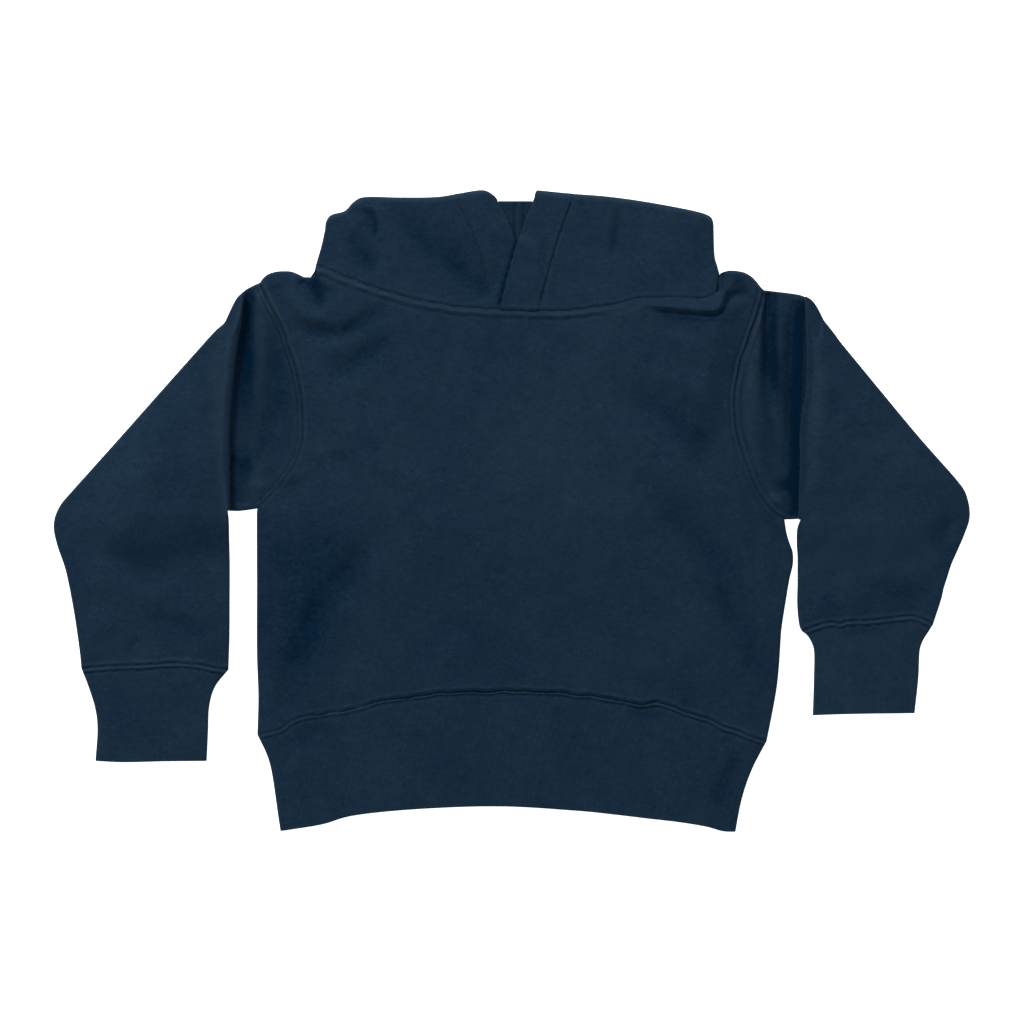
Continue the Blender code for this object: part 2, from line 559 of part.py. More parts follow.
def hood_panel(side, material):
    """From the seam up the back of the head, round the side, to the edge of the face opening."""
    out = -1 if side == "left" else 1
    fold_depth = PITCH / 2 + HALF
    centre_z = HALF + PITCH / 2
    top = Outline(HOOD_TOP[side])
    side_line = Outline(HOOD_SIDE[side])
    face_line = Outline(FACE_EDGE[side])
    front_neck, back_neck = neck_line(True), neck_line(False)
    corner = side_line.points[0]
    rim = side_line.points[-1]
    centre_x = HOOD_CENTRE + out * SEAM_GAP / 2
    corner_width = abs(corner[0] - centre_x)

    def front_top(x):
        return top.y_at(x) - fold_depth

    def back_top(x, share):
        return np.minimum(front_top(x), BACK_TOP - HALF) - 2 * smooth((1 - share) / 0.15)

    def skin(inset):
        # Columns from the back centre to the side, and on to the face opening. They meet the neck seam
        # where the columns of the torso do.
        def seam_shares(line, x_inside):
            share = (line.points[:, 0] - x_inside) / (corner[0] - x_inside)
            return np.sort(share[(share > 0.03) & (share < 1 - 3 / corner_width)])

        turned = 1 - turned_places(inset)[::-1] / corner_width
        hem = HEM_BAND / abs(corner[0] - face_line.points[0, 0])
        front_inner = seam_shares(front_neck, face_line.points[0, 0])
        front_inner = front_inner[np.abs(front_inner - hem) > 0.03]
        front_inner = np.sort(np.concatenate([[0, hem - 0.007, hem + 0.007], front_inner]))
        back = np.concatenate([[0], seam_shares(back_neck, centre_x), turned])
        front = np.concatenate([front_inner, turned[:-1]])[::-1]
        share = np.concatenate([back, front])
        is_front = np.concatenate([np.zeros(len(back), bool), np.ones(len(front), bool)])
        rise = turned_rise((1 - share) * corner_width, inset) * np.where(is_front, 1, -1)
        band = np.where(is_front & (share < hem), BAND_RISE, 0)
        height = rise * (HALF - inset)
        grid = []

        # Up from the neck seam to the fold.
        for v in (0, 0.2, 0.45, 0.72, 1):
            face = face_line.at(np.float64(v))
            x_side, y_side = side_line.at(np.float64(v))
            x_near = np.where(is_front, face_line.points[0, 0], centre_x)
            x_near = x_near + (corner[0] - x_near) * share
            x_far = np.where(is_front, face_line.points[-1, 0], centre_x)
            x_far = x_far + (rim[0] - x_far) * share
            y_near = np.where(is_front, front_neck.y_at(x_near), back_neck.y_at(x_near)) + SEAM_GAP
            y_far = np.where(is_front, front_top(x_far), back_top(x_far, share))
            x = (1 - v) * x_near + v * x_far
            y = (1 - v) * y_near + v * y_far
            x_first = np.where(is_front, face[0], centre_x)
            x = x + (1 - share) * (x_first - (1 - v) * np.where(is_front, face_line.points[0, 0], centre_x)
                                   - v * np.where(is_front, face_line.points[-1, 0], centre_x))
            x = x + share * (x_side - (1 - v) * corner[0] - v * rim[0])
            base = (1 - v ** 2) * torso_base(x, y) + v ** 2 * PITCH
            overlap = smooth((22 - x) / 7) * smooth((x + 16) / 8) * smooth((178 - y) / 8)
            lift = (OVERLAP_LIFT if side == "right" else -OVERLAP_DROP) * overlap
            loft = (torso_height(x, y) - TUBE) * (1 - v ** 2) + lift + band
            z = base + HALF + height + np.clip(rise, 0, None) * loft
            grid.append(np.stack([x, y, z], axis=1))
        top_x = x

        # Over the fold. The inner layer has the smaller radius.
        top_y = np.where(is_front, front_top(top_x), back_top(top_x, share))
        for turn in TURN[1:]:
            radius = PITCH / 2 + height + np.clip(rise, 0, None) * band * math.cos(turn / 2) ** 2
            grid.append(np.stack([top_x, top_y + radius * math.sin(turn),
                                  centre_z + radius * math.cos(turn)], axis=1))

        # Down behind the garment to the crown.
        for v, half, opening in TUCKED[1:]:
            first = HOOD_CENTRE + out * np.where(is_front, opening, SEAM_GAP / 2)
            last = HOOD_CENTRE + out * (half + (abs(rim[0] - HOOD_CENTRE) - TUCKED[0][1]) * (1 - v))
            x = first + (last - first) * share
            y = (1 - v) * top_y + v * (BACK_TOP - TUCKED_LENGTH + 0.0016 * (x - HOOD_CENTRE) ** 2)
            grid.append(np.stack([x, y, HALF - height], axis=1))
        return np.array(grid)

    return wall(f"Hood_{side}", skin(0), skin(FLEECE), material)


# Build

for obj in list(bpy.data.objects):
    bpy.data.objects.remove(obj)
bpy.context.scene.unit_settings.system = "METRIC"
collection = bpy.data.collections.new("Toddler hoodie")
bpy.context.scene.collection.children.link(collection)


def cloth_material(name, colour, roughness):
    material = bpy.data.materials.new(name)
    material.use_nodes = True
    shader = material.node_tree.nodes["Principled BSDF"]
    shader.inputs["Base Color"].default_value = (*colour, 1)
    shader.inputs["Roughness"].default_value = roughness
    shader.inputs["Metallic"].default_value = 0
    return material


fleece = cloth_material("navy_fleece", (0.0105, 0.0244, 0.0470), 0.95)
rib = cloth_material("navy_rib", (0.0094, 0.0222, 0.0423), 0.92)

torso_panel("Front", True, fleece)
torso_panel("Back", False, fleece)
for side in ("left", "right"):
    sleeve(side, fleece)
    cuff(side, rib)
    hood_panel(side, fleece)
waistband(rib)
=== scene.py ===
import math

import bmesh
import bpy
import numpy as np
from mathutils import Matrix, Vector
from mathutils.bvhtree import BVHTree


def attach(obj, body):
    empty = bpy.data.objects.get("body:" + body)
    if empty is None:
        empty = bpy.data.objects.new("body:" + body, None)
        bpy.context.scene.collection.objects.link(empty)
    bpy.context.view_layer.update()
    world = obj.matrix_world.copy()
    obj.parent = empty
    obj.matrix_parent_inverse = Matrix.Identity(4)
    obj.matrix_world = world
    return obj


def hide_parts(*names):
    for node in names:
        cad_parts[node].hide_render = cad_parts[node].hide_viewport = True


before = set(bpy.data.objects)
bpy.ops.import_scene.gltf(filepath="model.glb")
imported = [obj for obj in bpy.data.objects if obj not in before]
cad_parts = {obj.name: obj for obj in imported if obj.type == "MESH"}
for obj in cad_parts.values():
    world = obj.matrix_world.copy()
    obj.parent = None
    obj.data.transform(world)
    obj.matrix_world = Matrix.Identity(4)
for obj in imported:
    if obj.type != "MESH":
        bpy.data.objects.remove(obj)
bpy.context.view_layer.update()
print("frame loaded:", ", ".join(sorted(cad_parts)))

# A toddler's fleece hoodie, laid flat with its front up. Lengths are in millimetres until a mesh is made.
# Left and right are those of somebody looking at the front.
mm = 0.001
cloth = {
    "fleece": 1.7,        # thickness
    "rib": 1.9,
    "layerGap": 0.3,      # between layers that lie on each other
    "sewn": -0.12,        # between two pieces that are sewn together: their edges just bite
    "tube": 4.5,          # height of a tube of cloth pressed flat
    "coarse": 4.5,        # sizes of the mesh's cells: where nothing shows,
    "medium": 2.3,        # on open stretches,
    "fine": 1.35,         # and round the neck and shoulders
    "waviness": 0.26,     # how uneven a flat stretch is
    "pucker": 0.24,       # and the cloth beside a seam
    "paintedRimLight": 0.7,       # painted rim light: how much lighter the cloth is painted where it turns over
}
tube = cloth["tube"]
half = tube / 2
pitch = tube + cloth["layerGap"]
lowest = 2 * cloth["fleece"] + cloth["layerGap"] + 0.1
foldDepth = pitch / 2 + half      # from the axis of a fold to its edge, and the height of the lowest axis
edgeSteps = np.array([0, 0.15, 0.4, 0.75, 1.1, 1.5, 1.9, 2.25, 2.7, 3.1, 3.5, 3.9, 4.4, 5.0, 5.8, 7.0, 8.8])


# Curves and surfaces

class Outline:
    # A smooth curve through places, read by its share of the length from 0 to 1.
    def __init__(self, places, steps=16):
        places = np.array(places, float)
        ends = 2 * places[[0, -1]] - places[[1, -2]]
        knots = np.vstack([ends[:1], places, ends[1:]])
        t = np.linspace(0, 1, steps, endpoint=False)[:, None]
        spans = []
        for a, b, c, d in zip(knots, knots[1:], knots[2:], knots[3:]):
            spans.append(b + t / 2 * (c - a + t * (2 * a - 5 * b + 4 * c - d + t * (3 * (b - c) + d - a))))
        self.points = np.vstack([*spans, places[-1:]])
        lengths = np.linalg.norm(np.diff(self.points, axis=0), axis=1)
        self.length = lengths.sum()
        self.share = np.concatenate([[0], np.cumsum(lengths)]) / self.length

    def at(self, share):
        return np.stack([np.interp(share, self.share, self.points[:, k]) for k in (0, 1)], axis=-1)

    def yAt(self, x):
        order = np.argsort(self.points[:, 0])
        return np.interp(x, self.points[order, 0], self.points[order, 1])

    def moved(self, distance):
        # Sideways, to the right of the curve's direction.
        run = np.gradient(self.points, axis=0)
        run /= np.linalg.norm(run, axis=1)[:, None]
        right = np.stack([run[:, 1], -run[:, 0]], axis=1)
        return Outline(self.points + np.reshape(distance, (-1, 1)) * right, steps=1)

    def uneven(self, amount, size, seed):
        # The same curve with small soft bumps, as a sewn line has. Its ends stay.
        along = self.share * self.length
        ends = smooth(along / 12) * smooth((self.length - along) / 12)
        return self.moved(amount * ends * waves(along, 0 * along, size, seed))

    def away(self, x, y):
        # Distance, nearest share of the curve, and which side: 1 to the left of its direction.
        flatX, flatY = np.ravel(x), np.ravel(y)
        start, run = self.points[:-1], np.diff(self.points, axis=0)
        best = np.full(flatX.shape, 1e9)
        share = np.zeros_like(best)
        side = np.ones_like(best)
        for k, (a, d) in enumerate(zip(start, run)):
            length = d @ d + 1e-12
            t = np.clip(((flatX - a[0]) * d[0] + (flatY - a[1]) * d[1]) / length, 0, 1)
            gapX, gapY = flatX - a[0] - t * d[0], flatY - a[1] - t * d[1]
            gap = np.hypot(gapX, gapY)
            near = gap < best
            best = np.where(near, gap, best)
            share = np.where(near, self.share[k] + t * (self.share[k + 1] - self.share[k]), share)
            side = np.where(near, np.sign(d[0] * gapY - d[1] * gapX), side)
        return best.reshape(np.shape(x)), share.reshape(np.shape(x)), side.reshape(np.shape(x))


def chain(*outlines):
    # Curves that follow each other, read by one number: 0 to 1 on the first, 1 to 2 on the second.
    def at(number):
        number = np.asarray(number, float)
        which = np.clip(np.ceil(number) - 1, 0, len(outlines) - 1)
        place = np.zeros(number.shape + (2,))
        for k, outline in enumerate(outlines):
            place[which == k] = outline.at(number[which == k] - k)
        return place
    return at


def between(places, start, end):
    return Outline([tuple(start), *places[1:-1], tuple(end)])


def patch(u, v, near, far, first, last, bend=1):
    # Plan of a surface from its four edges. The shapes of near and far fade inwards.
    u, v = u[..., None], v[..., None]
    nearShape = near[1] - (1 - u) * near[0] - u * near[-1]
    farShape = far[1] - (1 - u) * far[0] - u * far[-1]
    return (1 - u) * first + u * last + (1 - v) ** bend * nearShape + v ** bend * farShape


def edgeOf(curve, number, low=0.0, high=1.0):
    return curve(np.float64(low)), curve(number), curve(np.float64(high))


def smooth(x):
    x = np.clip(x, 0, 1)
    return x * x * (3 - 2 * x)


def waves(x, y, size, seed, count=14, peak=3.7):
    # A soft uneven surface between about -1 and 1, with features of a size, from a count of sine waves.
    rng = np.random.default_rng(seed)
    height = np.zeros_like(x)
    for _ in range(count):
        angle, phase = rng.uniform(0, 2 * math.pi, 2)
        step = 2 * math.pi / (size * rng.uniform(0.7, 1.7))
        height += np.sin(step * (x * math.cos(angle) + y * math.sin(angle)) + phase)
    return height / peak


def stroke(path, width, rise, **more):
    # A soft fold of the cloth, or a patch of painted light, or of painted shade where its rise is below 0.
    # More is its lean, step and reach, how sharp its sides are, and the shares of its length over which it
    # fades in at the start and out at the end.
    return {"path": path, "width": width, "rise": rise, **more}


def creases(table, x, y):
    # Height of the strokes in a table. A lean widens one to the left of its path's direction and narrows it
    # to the right. A step lifts the cloth on the left over the cloth on the right.
    height = np.zeros_like(x)
    for crease in table:
        line = Outline(crease["path"], steps=6 if crease["width"] < 6 else 3)
        step, reach = crease.get("step", 0), crease.get("reach", 5.0)
        margin = max(4.2 * crease["width"], 5 * reach if step else 0)
        low, high = line.points.min(axis=0) - margin, line.points.max(axis=0) + margin
        near = (x > low[0]) & (x < high[0]) & (y > low[1]) & (y < high[1])
        if not near.any():
            continue
        gap, share, side = line.away(x[near], y[near])
        width = crease["width"] * (1 + side * crease.get("lean", 0))
        fade = smooth(share / crease.get("start", 0.3)) * smooth((1 - share) / crease.get("end", 0.3))
        height[near] += crease["rise"] * fade * np.exp(-np.abs(gap / width) ** crease.get("sharp", 2.0))
        if step:
            height[near] += step * fade * side * (1 - np.exp(-gap / 0.7)) * np.exp(-gap / reach)
    return height


def relief(table, away):
    # Cross-section beside a seam: places, widths and rises of its ridges and grooves.
    return sum(rise * np.exp(-((away - place) / width) ** 2) for place, width, rise in table)


def seamed(table, line, x, y, seed, strength=(1, 1)):
    # The same beside a sewn line, where the ridges and grooves come and go a little. The strength is that
    # at its start and end.
    gap, share, _ = line.away(x, y)
    along = share * line.length
    strength = np.interp(share, [0.15, 0.75], strength)
    return relief(table, gap) * strength * (1 + 0.3 * waves(along, 0 * along, 6, seed))


def pucker(line, x, y, seed, amount=1.0):
    # Little gathers square to a seam, which die out a few millimetres from it.
    gap, share, _ = line.away(x, y)
    along = share * line.length
    gathers = waves(along, 0 * along, 11, seed) + 0.5 * waves(along, 0 * along, 6, seed + 50)
    return amount * cloth["pucker"] * gathers * np.exp(-(gap / 5.5) ** 2)


def paintedReliefShading(folds, trough=0.20, ridge=0.07):
    # Painted light on a raised fold, and painted shade in a trough.
    return np.where(folds < 0, trough, ridge) * folds


# Painted highlight on a seam's ridges, and a little painted shade in its grooves.
def paintedSeamShading(seams):
    return paintedReliefShading(seams, 0.12, 1.1)


# Rounding of an edge where the cloth turns over, and of a hem that is folded in.

def insetSteps(steps, inset):
    return steps + inset * np.clip(1 - steps / half, 0, 1)


def turnedRise(away, inset):
    radius = half - inset
    run = np.clip(half - np.clip(away, inset, half), 0, radius)
    return np.sqrt(radius ** 2 - run ** 2) / radius


def hemDraw(away, thickness):
    # How far each skin draws in towards the wall's middle beside a folded edge.
    radius = thickness / 2
    return 0.9 * radius * (1 - np.sqrt(1 - (1 - np.clip(away / radius, 0, 1)) ** 2))


def steps(length, spacing, first=edgeSteps, last=edgeSteps):
    # Distances along a length, closer together at its two ends.
    inner = length - first[-1] - last[-1]
    middle = np.linspace(first[-1], length - last[-1], max(2, round(inner / spacing)) + 1)[1:-1]
    return np.concatenate([first, middle, length - last[::-1]])


def graded(length, first, last, startLength, endLength, fine, medium):
    # As steps, with finer ones over a stretch at the start and at the end.
    low, high = first[-1], length - last[-1]
    marks = [low, max(low, startLength), min(high, length - endLength), high]
    middle = []
    for start, end, spacing in zip(marks, marks[1:], (fine, medium, fine)):
        if end - start > 0.1:
            middle += list(np.linspace(start, end, max(1, round((end - start) / spacing)) + 1)[1:])
    return np.concatenate([first, middle[:-1], length - last[::-1]])


# Meshes

def clothWall(name, outer, inner, nap, closed=False):
    # A closed wall between two grids of points, with a UV map in metres of cloth. Each skin carries its
    # tone
    # and painted light and shade: lighter above 0, darker below it.
    rows, columns = outer.shape[:2]
    count = rows * columns
    points = np.concatenate([outer.reshape(-1, 3), inner.reshape(-1, 3)]) * mm
    wide = columns + 1 if closed else columns
    i, j = np.meshgrid(np.arange(rows), np.arange(wide), indexing="ij")
    index = i * columns + j % columns
    around = outer[:, np.arange(wide) % columns]
    across = np.linalg.norm(np.diff(around, axis=1), axis=2)
    along = np.linalg.norm(np.diff(around, axis=0), axis=2)
    u = np.concatenate([np.zeros((rows, 1)), np.cumsum(across, axis=1)], axis=1)
    u -= u.mean(axis=1, keepdims=True)
    v = np.concatenate([np.zeros((1, wide)), np.cumsum(along, axis=0)], axis=0)
    uv = np.stack([u, v], axis=2) * mm

    def quads(corners, grid):
        return np.stack([grid[c] for c in corners], axis=-1)

    here, right = (slice(None, -1), slice(None, -1)), (slice(None, -1), slice(1, None))
    above, aboveRight = (slice(1, None), slice(None, -1)), (slice(1, None), slice(1, None))
    skin = [here, right, aboveRight, above]
    faces = [quads(skin, index).reshape(-1, 4), quads(skin[::-1], index).reshape(-1, 4) + count]
    maps = [np.stack([uv[c] for c in skin], axis=2).reshape(-1, 4, 2),
            np.stack([uv[c] for c in skin[::-1]], axis=2).reshape(-1, 4, 2)]

    def rim(ids, places, turn):
        a, b = ids[:-1], ids[1:]
        ring = np.stack([b, a, a + count, b + count], axis=1)
        mapped = np.stack([places[1:], places[:-1], places[:-1], places[1:]], axis=1)
        faces.append(ring[:, ::turn])
        maps.append(mapped[:, ::turn])

    rim(index[0], uv[0], 1)
    rim(index[-1], uv[-1], -1)
    if not closed:
        rim(index[:, 0], uv[:, 0], -1)
        rim(index[:, -1], uv[:, -1], 1)
    faces, maps = np.concatenate(faces), np.concatenate(maps)
    mesh = bpy.data.meshes.new(name)
    mesh.from_pydata(points.tolist(), [], faces.tolist())
    mesh.uv_layers.new(name="cloth").uv.foreach_set("vector", maps.reshape(-1))
    paintedLightAndTone = np.concatenate([skinPaintedShade.reshape(-1) for skinPaintedShade in nap])
    mesh.attributes.new("nap", "FLOAT", "POINT").data.foreach_set("value", paintedLightAndTone)
    bm = bmesh.new()
    bm.from_mesh(mesh)
    if bm.calc_volume(signed=True) < 0:
        bmesh.ops.reverse_faces(bm, faces=bm.faces)
    bm.to_mesh(mesh)
    bm.free()
    mesh.shade_smooth()
    mesh.set_sharp_from_angle(angle=math.radians(70))
    piece = bpy.data.objects.new(name, mesh)
    bpy.context.scene.collection.objects.link(piece)
    print(f"{name}: {len(mesh.polygons)} faces")
    return piece


def skinPoints(plan, height):
    return np.concatenate([plan, height[..., None]], axis=-1)


# How the layers lie on each other

hoodBehind = {
    "centre": 4.0,        # the seam up the back of the hood
    "backTop": 197.2,     # where the back of the hood turns down, inside the face opening
    "length": 192.0,      # of the part that is turned down behind
    "margin": 12.0,       # the torso stays level this far beyond it,
    "ramp": 20.0,         # and slopes down over this width at the sides,
    "run": 72.0,          # and over this one past its lower end
    "rows": [  # share of the length, half its width, half the width of the face opening
        (0.00, 121.5, 12.0), (0.15, 119.0, 24.0), (0.35, 115.0, 35.0), (0.55, 108.0, 36.0),
        (0.72, 99.0, 24.0), (0.84, 88.0, 1.0), (0.94, 70.0, 0.15), (1.00, 46.0, 0.15),
    ],
}

torso = {
    "loft": 2.5,
    "loftShare": {"shoulders": 0.3, "waist": 0.45},       # of the loft that is left at these edges
    "level": {"shoulders": 165, "underarm": 4, "waist": -140},
    "reach": {"left": 162.6, "right": 176},               # of the sides, which the loft starts from,
    "reachAbove": {"left": 4, "right": -7},               # and how much further above the underarm
    "sideRamp": {"below": 32, "above": 14},               # width over which the loft rises
    "waistSeam": [(-163.2, -143.2), (-149, -139.2), (-135.7, -131.9), (-119.7, -129.0), (-105, -126.8),
                  (-93, -123.0), (-77, -119.2), (-52, -116.0), (-26, -114.6), (0, -114.2), (24, -115.2),
                  (44, -116.9), (62, -119.2), (78, -122.4), (86, -123.4), (96, -122.8), (111, -128.0),
                  (127, -133.6), (144, -140.4), (163.2, -147.2)],
    "sides": {
        "left": [(-163.2, -143.2), (-162.6, -118), (-163.5, -90), (-163.5, -45), (-163.6, -6),
                 (-163.2, 2.0)],
        "right": [(163.2, -147.2), (167.2, -127), (169.8, -112), (171.2, -98), (172.1, -84), (172.9, -74),
                  (175.7, -56), (177.9, -43), (180.0, -34), (179.9, -26), (177.8, -20), (175.9, -13.6),
                  (174.6, -5.0)],
    },
    "armholes": {  # from the underarm up
        "left": [(-163.2, 2.0), (-151.4, 13.6), (-140.6, 27.8), (-134.2, 45), (-134.2, 66), (-137.6, 88),
                 (-147, 116.8), (-154.6, 131.5), (-158.8, 139.8), (-161.4, 146.8)],
        "right": [(174.6, -5.0), (166.4, 0.6), (156.8, 14.4), (148.4, 35), (143.4, 55.4), (142.8, 76),
                  (147.2, 98), (154, 117), (158.2, 129.6), (161.4, 141.9)],
    },
    "shoulders": {  # from the armhole to the neck
        "left": [(-161.4, 146.8), (-159.8, 149.2), (-156.4, 152.1), (-151.4, 153.7), (-146.6, 154.1),
                 (-141.4, 153.8), (-136.3, 151.8), (-130.8, 149.2), (-127.8, 151.4), (-126.0, 154.8),
                 (-125.4, 158.2)],
        "right": [(161.4, 141.9), (159.2, 144.2), (156.4, 147.8), (153.2, 150.8), (148.2, 153.4),
                  (140.8, 154.3), (136.3, 153.6), (132.9, 151.8), (132.3, 147.0), (131.6, 140.8)],
    },
    "frontNeck": [(-125.4, 158.2), (-110, 151.6), (-82, 141.4), (-60, 135.6), (-36, 131.5), (-6.4, 129.4),
                  (20, 128.4), (45.7, 129.4), (62.7, 132.2), (75.5, 135.0), (88.3, 136.8), (105.4, 136.8),
                  (122.5, 136.6), (131.6, 140.8)],
    "backNeck": [(-125.4, 158.2), (-90, 161.5), (-40, 165.5), (4, 166.5), (60, 164), (105, 156),
                 (131.6, 140.8)],
    # places, widths and rises across each seam
    "neckRidge": [(0.0, 0.9, -0.7), (2.9, 1.4, 0.72), (5.6, 0.75, -0.65), (7.1, 0.8, 0.05)],
    "neckRoll": [(0.0, 0.8, -0.45), (2.6, 1.3, 0.2), (6.5, 4.0, 0.4)],
    "armholeRidge": {
        "left": [(0.0, 0.65, -0.6), (2.3, 1.0, 0.35)],
        "right": [(0.0, 0.65, -0.7), (1.7, 0.8, 0.4), (3.5, 0.65, -0.45), (5.0, 0.9, 0.1)],
    },
    "armholeStrength": {"left": (0.35, 2.1), "right": (1.0, 1.1)},
    "waistStrength": (0.65, 1.05),
    "waistRidge": [(0.0, 0.8, -0.45), (2.0, 1.0, 0.35)],
    "folds": [
        # where the neck seam's left end is tucked under
        stroke([(-125.6, 154), (-123.4, 148.4), (-120, 143.6), (-114, 137.6)], 1.8, -1.4, step=2.4,
               reach=7, start=0.05, end=0.4),
        stroke([(-129, 150), (-125.6, 143), (-121.6, 135.4), (-117, 128)], 5.0, -2.5, start=0.1, end=0.4),
        stroke([(-131, 149), (-135, 146.3), (-139.4, 143.8)], 1.1, -1.1, step=-0.9, reach=4, start=0.05,
               end=0.4),
        stroke([(-136.5, 147), (-142, 139), (-136, 129), (-123, 123), (-113, 125)], 4.5, 1.6),
        stroke([(-153, 145), (-147.6, 134), (-141, 124)], 3.4, -1.5, start=0.1),
        # round below it, from the armhole to the neck
        stroke([(-146, 125), (-139, 120), (-129, 116), (-118, 114), (-108, 114.5), (-99, 120),
                (-91, 124.5), (-80, 124.5), (-68, 126)], 5.2, -2.2, start=0.2, end=0.35),
        stroke([(-111, 113), (-103, 116.5), (-97, 121.5)], 4, -0.9),
        stroke([(-120, 107), (-106, 107), (-92, 113)], 6, 0.9),
        stroke([(-68, 116), (-84, 105), (-98, 96), (-112, 90), (-124, 80)], 7.5, -1.8),
        stroke([(-80, 90), (-94, 82), (-108, 74)], 7, 0.8),
        # down the left side
        stroke([(-76, 2), (-86, -12), (-97, -26), (-114.6, -48), (-126, -61), (-135, -82), (-144.2, -109),
                (-150, -134)], 9.5, -1.6, lean=0.3, end=0.08),
        stroke([(-122, -54), (-129, -66), (-134, -80)], 4.6, -1.0),
        stroke([(-66, -16), (-84, -36), (-98, -62), (-106, -90)], 12, 1.2),
        stroke([(-150, -40), (-148, -70), (-154, -100)], 6, 0.8),
        stroke([(-134, 41), (-124, 37), (-114, 32)], 4.5, 1.2),
        stroke([(-124, 31), (-114, 35), (-103, 30)], 3.6, -1.2),
        stroke([(-150, 14), (-140, 16), (-126, 18)], 4.5, -0.9),
        # below the right shoulder
        stroke([(68, 80), (84, 71), (99, 60.7), (116, 48), (135, 35)], 9, -1.9),
        stroke([(108, 74), (118, 64), (130, 54)], 5, -1.0),
        stroke([(84, 92), (104, 84), (122, 78), (134, 66)], 7, 1.0),
        stroke([(94, 118), (112, 108), (126, 100), (132, 84)], 6.5, 1.0),
        stroke([(76, 36), (100, 26), (124, 16), (146, 4)], 8, 0.9),
        # down the right side
        stroke([(72, 30), (82, 22), (97, 3), (112, -12), (128, -29), (137.4, -54.5), (146, -80),
                (156, -99), (160, -118)], 9.5, -2.0, lean=0.25, end=0.15),
        stroke([(132, -44), (138, -62), (144, -78)], 4.6, -0.9),
        stroke([(74, -10), (98, -36), (116, -70), (124, -100)], 12, 1.0),
        stroke([(160, -24), (164, -50), (162, -78)], 6, 0.8),
        stroke([(160, 0), (166, -8), (172, -16), (178, -20)], 3.4, -1.2, start=0.4),
        # above the waist seam
        stroke([(78, -104), (88, -112), (96, -122)], 5, -1.0, end=0.1),
        stroke([(84, -122), (92, -116), (100, -122)], 4, 0.8),
        stroke([(-110, -116), (-100, -122), (-92, -124)], 4, -0.8),
        stroke([(-4, -98), (2, -106), (9, -113)], 3, -0.5, end=0.1),
        # round the right end of the neck seam
        stroke([(80, 131.2), (92, 129.6), (107.5, 128.0), (120, 127.0), (129.6, 126.8), (134.6, 130.6),
                (136.6, 136.4), (137.4, 146)], 2.0, -1.6, step=1.6, reach=6, lean=-0.5, start=0.25,
               end=0.15),
        stroke([(96, 119), (112, 116.6), (128, 116)], 4.5, -0.6),
        stroke([(134.2, 152), (134.2, 146), (133.4, 139)], 1.5, -2.2, start=0.05),
        stroke([(136.4, 131), (139.6, 137.4), (146, 139.6), (154, 139)], 2.4, -2.6),
        stroke([(141, 147), (146, 143.6), (151, 143)], 3.6, -1.2),
        stroke([(139, 126), (145, 131.6), (152, 132.6)], 4.0, 1.2),
    ],
    "paintedShades": [  # painted light and shade, written as the folds are
        stroke([(-20, 80), (24, 60), (36, -20)], 62, 0.32),
        stroke([(-148, 10), (-138, -50), (-150, -120)], 30, -0.85),
        stroke([(-108, 20), (-112, -20), (-120, -60)], 17, -0.3),
        stroke([(-78, 4), (-97, -28), (-122, -56), (-134, -84), (-148, -124)], 15, -0.15),
        stroke([(76, 28), (99, -3), (124, -26), (140, -60), (158, -104)], 14, -0.15),
        stroke([(-128, 149.5), (-125.2, 143), (-121.4, 135.5), (-117.5, 128.5)], 4.4, -1.1, start=0.1,
               end=0.5),
        stroke([(-40, 112), (0, 104), (60, 100)], 22, -0.15),
        stroke([(-138, 120), (-118, 115), (-100, 118), (-80, 124)], 6, -0.45),
        stroke([(-70, 115), (-96, 98), (-124, 84)], 8, -0.3),
        stroke([(-60, -60), (-20, -90), (30, -86)], 24, -0.22),
        stroke([(88, 127.4), (106, 124.4), (122, 123.2), (133, 124.2), (140, 131)], 2.8, -0.75, start=0.2,
               end=0.3),
        stroke([(134.6, 153), (134.6, 146), (134, 138)], 2.2, -0.8, start=0.05),
        stroke([(72, 78), (99, 62), (131, 37)], 9, -0.3),
        stroke([(-126, 42), (-114, 34)], 6, 0.4),
        stroke([(60, 112), (84, 104), (100, 108)], 9, -0.3),
        stroke([(96, -96), (108, -114), (120, -126)], 9, -0.3, end=0.1),
        stroke([(-30, 118), (-52, 108), (-66, 92)], 12, -0.25),
    ],
}
torso["lines"] = {
    "waistSeam": Outline(torso["waistSeam"]).uneven(0.45, 15, 29),
    "frontNeck": Outline(torso["frontNeck"]).uneven(0.3, 14, 30),
    "backNeck": Outline(torso["backNeck"]),
    "armholes": {side: Outline(places).uneven(0.25, 13, 40) for side, places in torso["armholes"].items()},
}
for key in ("sides", "shoulders"):
    torso["lines"][key] = {side: Outline(places) for side, places in torso[key].items()}


def torsoBase(x, y):
    # Height of the underside, which lies on the surface and on the hood that is turned down behind.
    rows = np.array(hoodBehind["rows"])
    share = (hoodBehind["backTop"] - y) / hoodBehind["length"]
    beside = np.abs(x - hoodBehind["centre"])
    end = hoodBehind["backTop"] - hoodBehind["length"]
    edge = [(halfWidth, hoodBehind["backTop"] - hoodBehind["length"] * part) for part, halfWidth, _ in rows]
    edge = Outline([(rows[0][1], hoodBehind["backTop"] + 20), *edge, (0, end)], steps=6)
    inside = (share < 1) & (beside < np.interp(share, rows[:, 0], rows[:, 1]))
    outside = np.where(inside, 0, edge.away(beside, y)[0])
    ramp = hoodBehind["ramp"] + (hoodBehind["run"] - hoodBehind["ramp"]) * smooth((40 - y) / 50)
    return pitch * smooth(1 - (outside - hoodBehind["margin"]) / ramp)


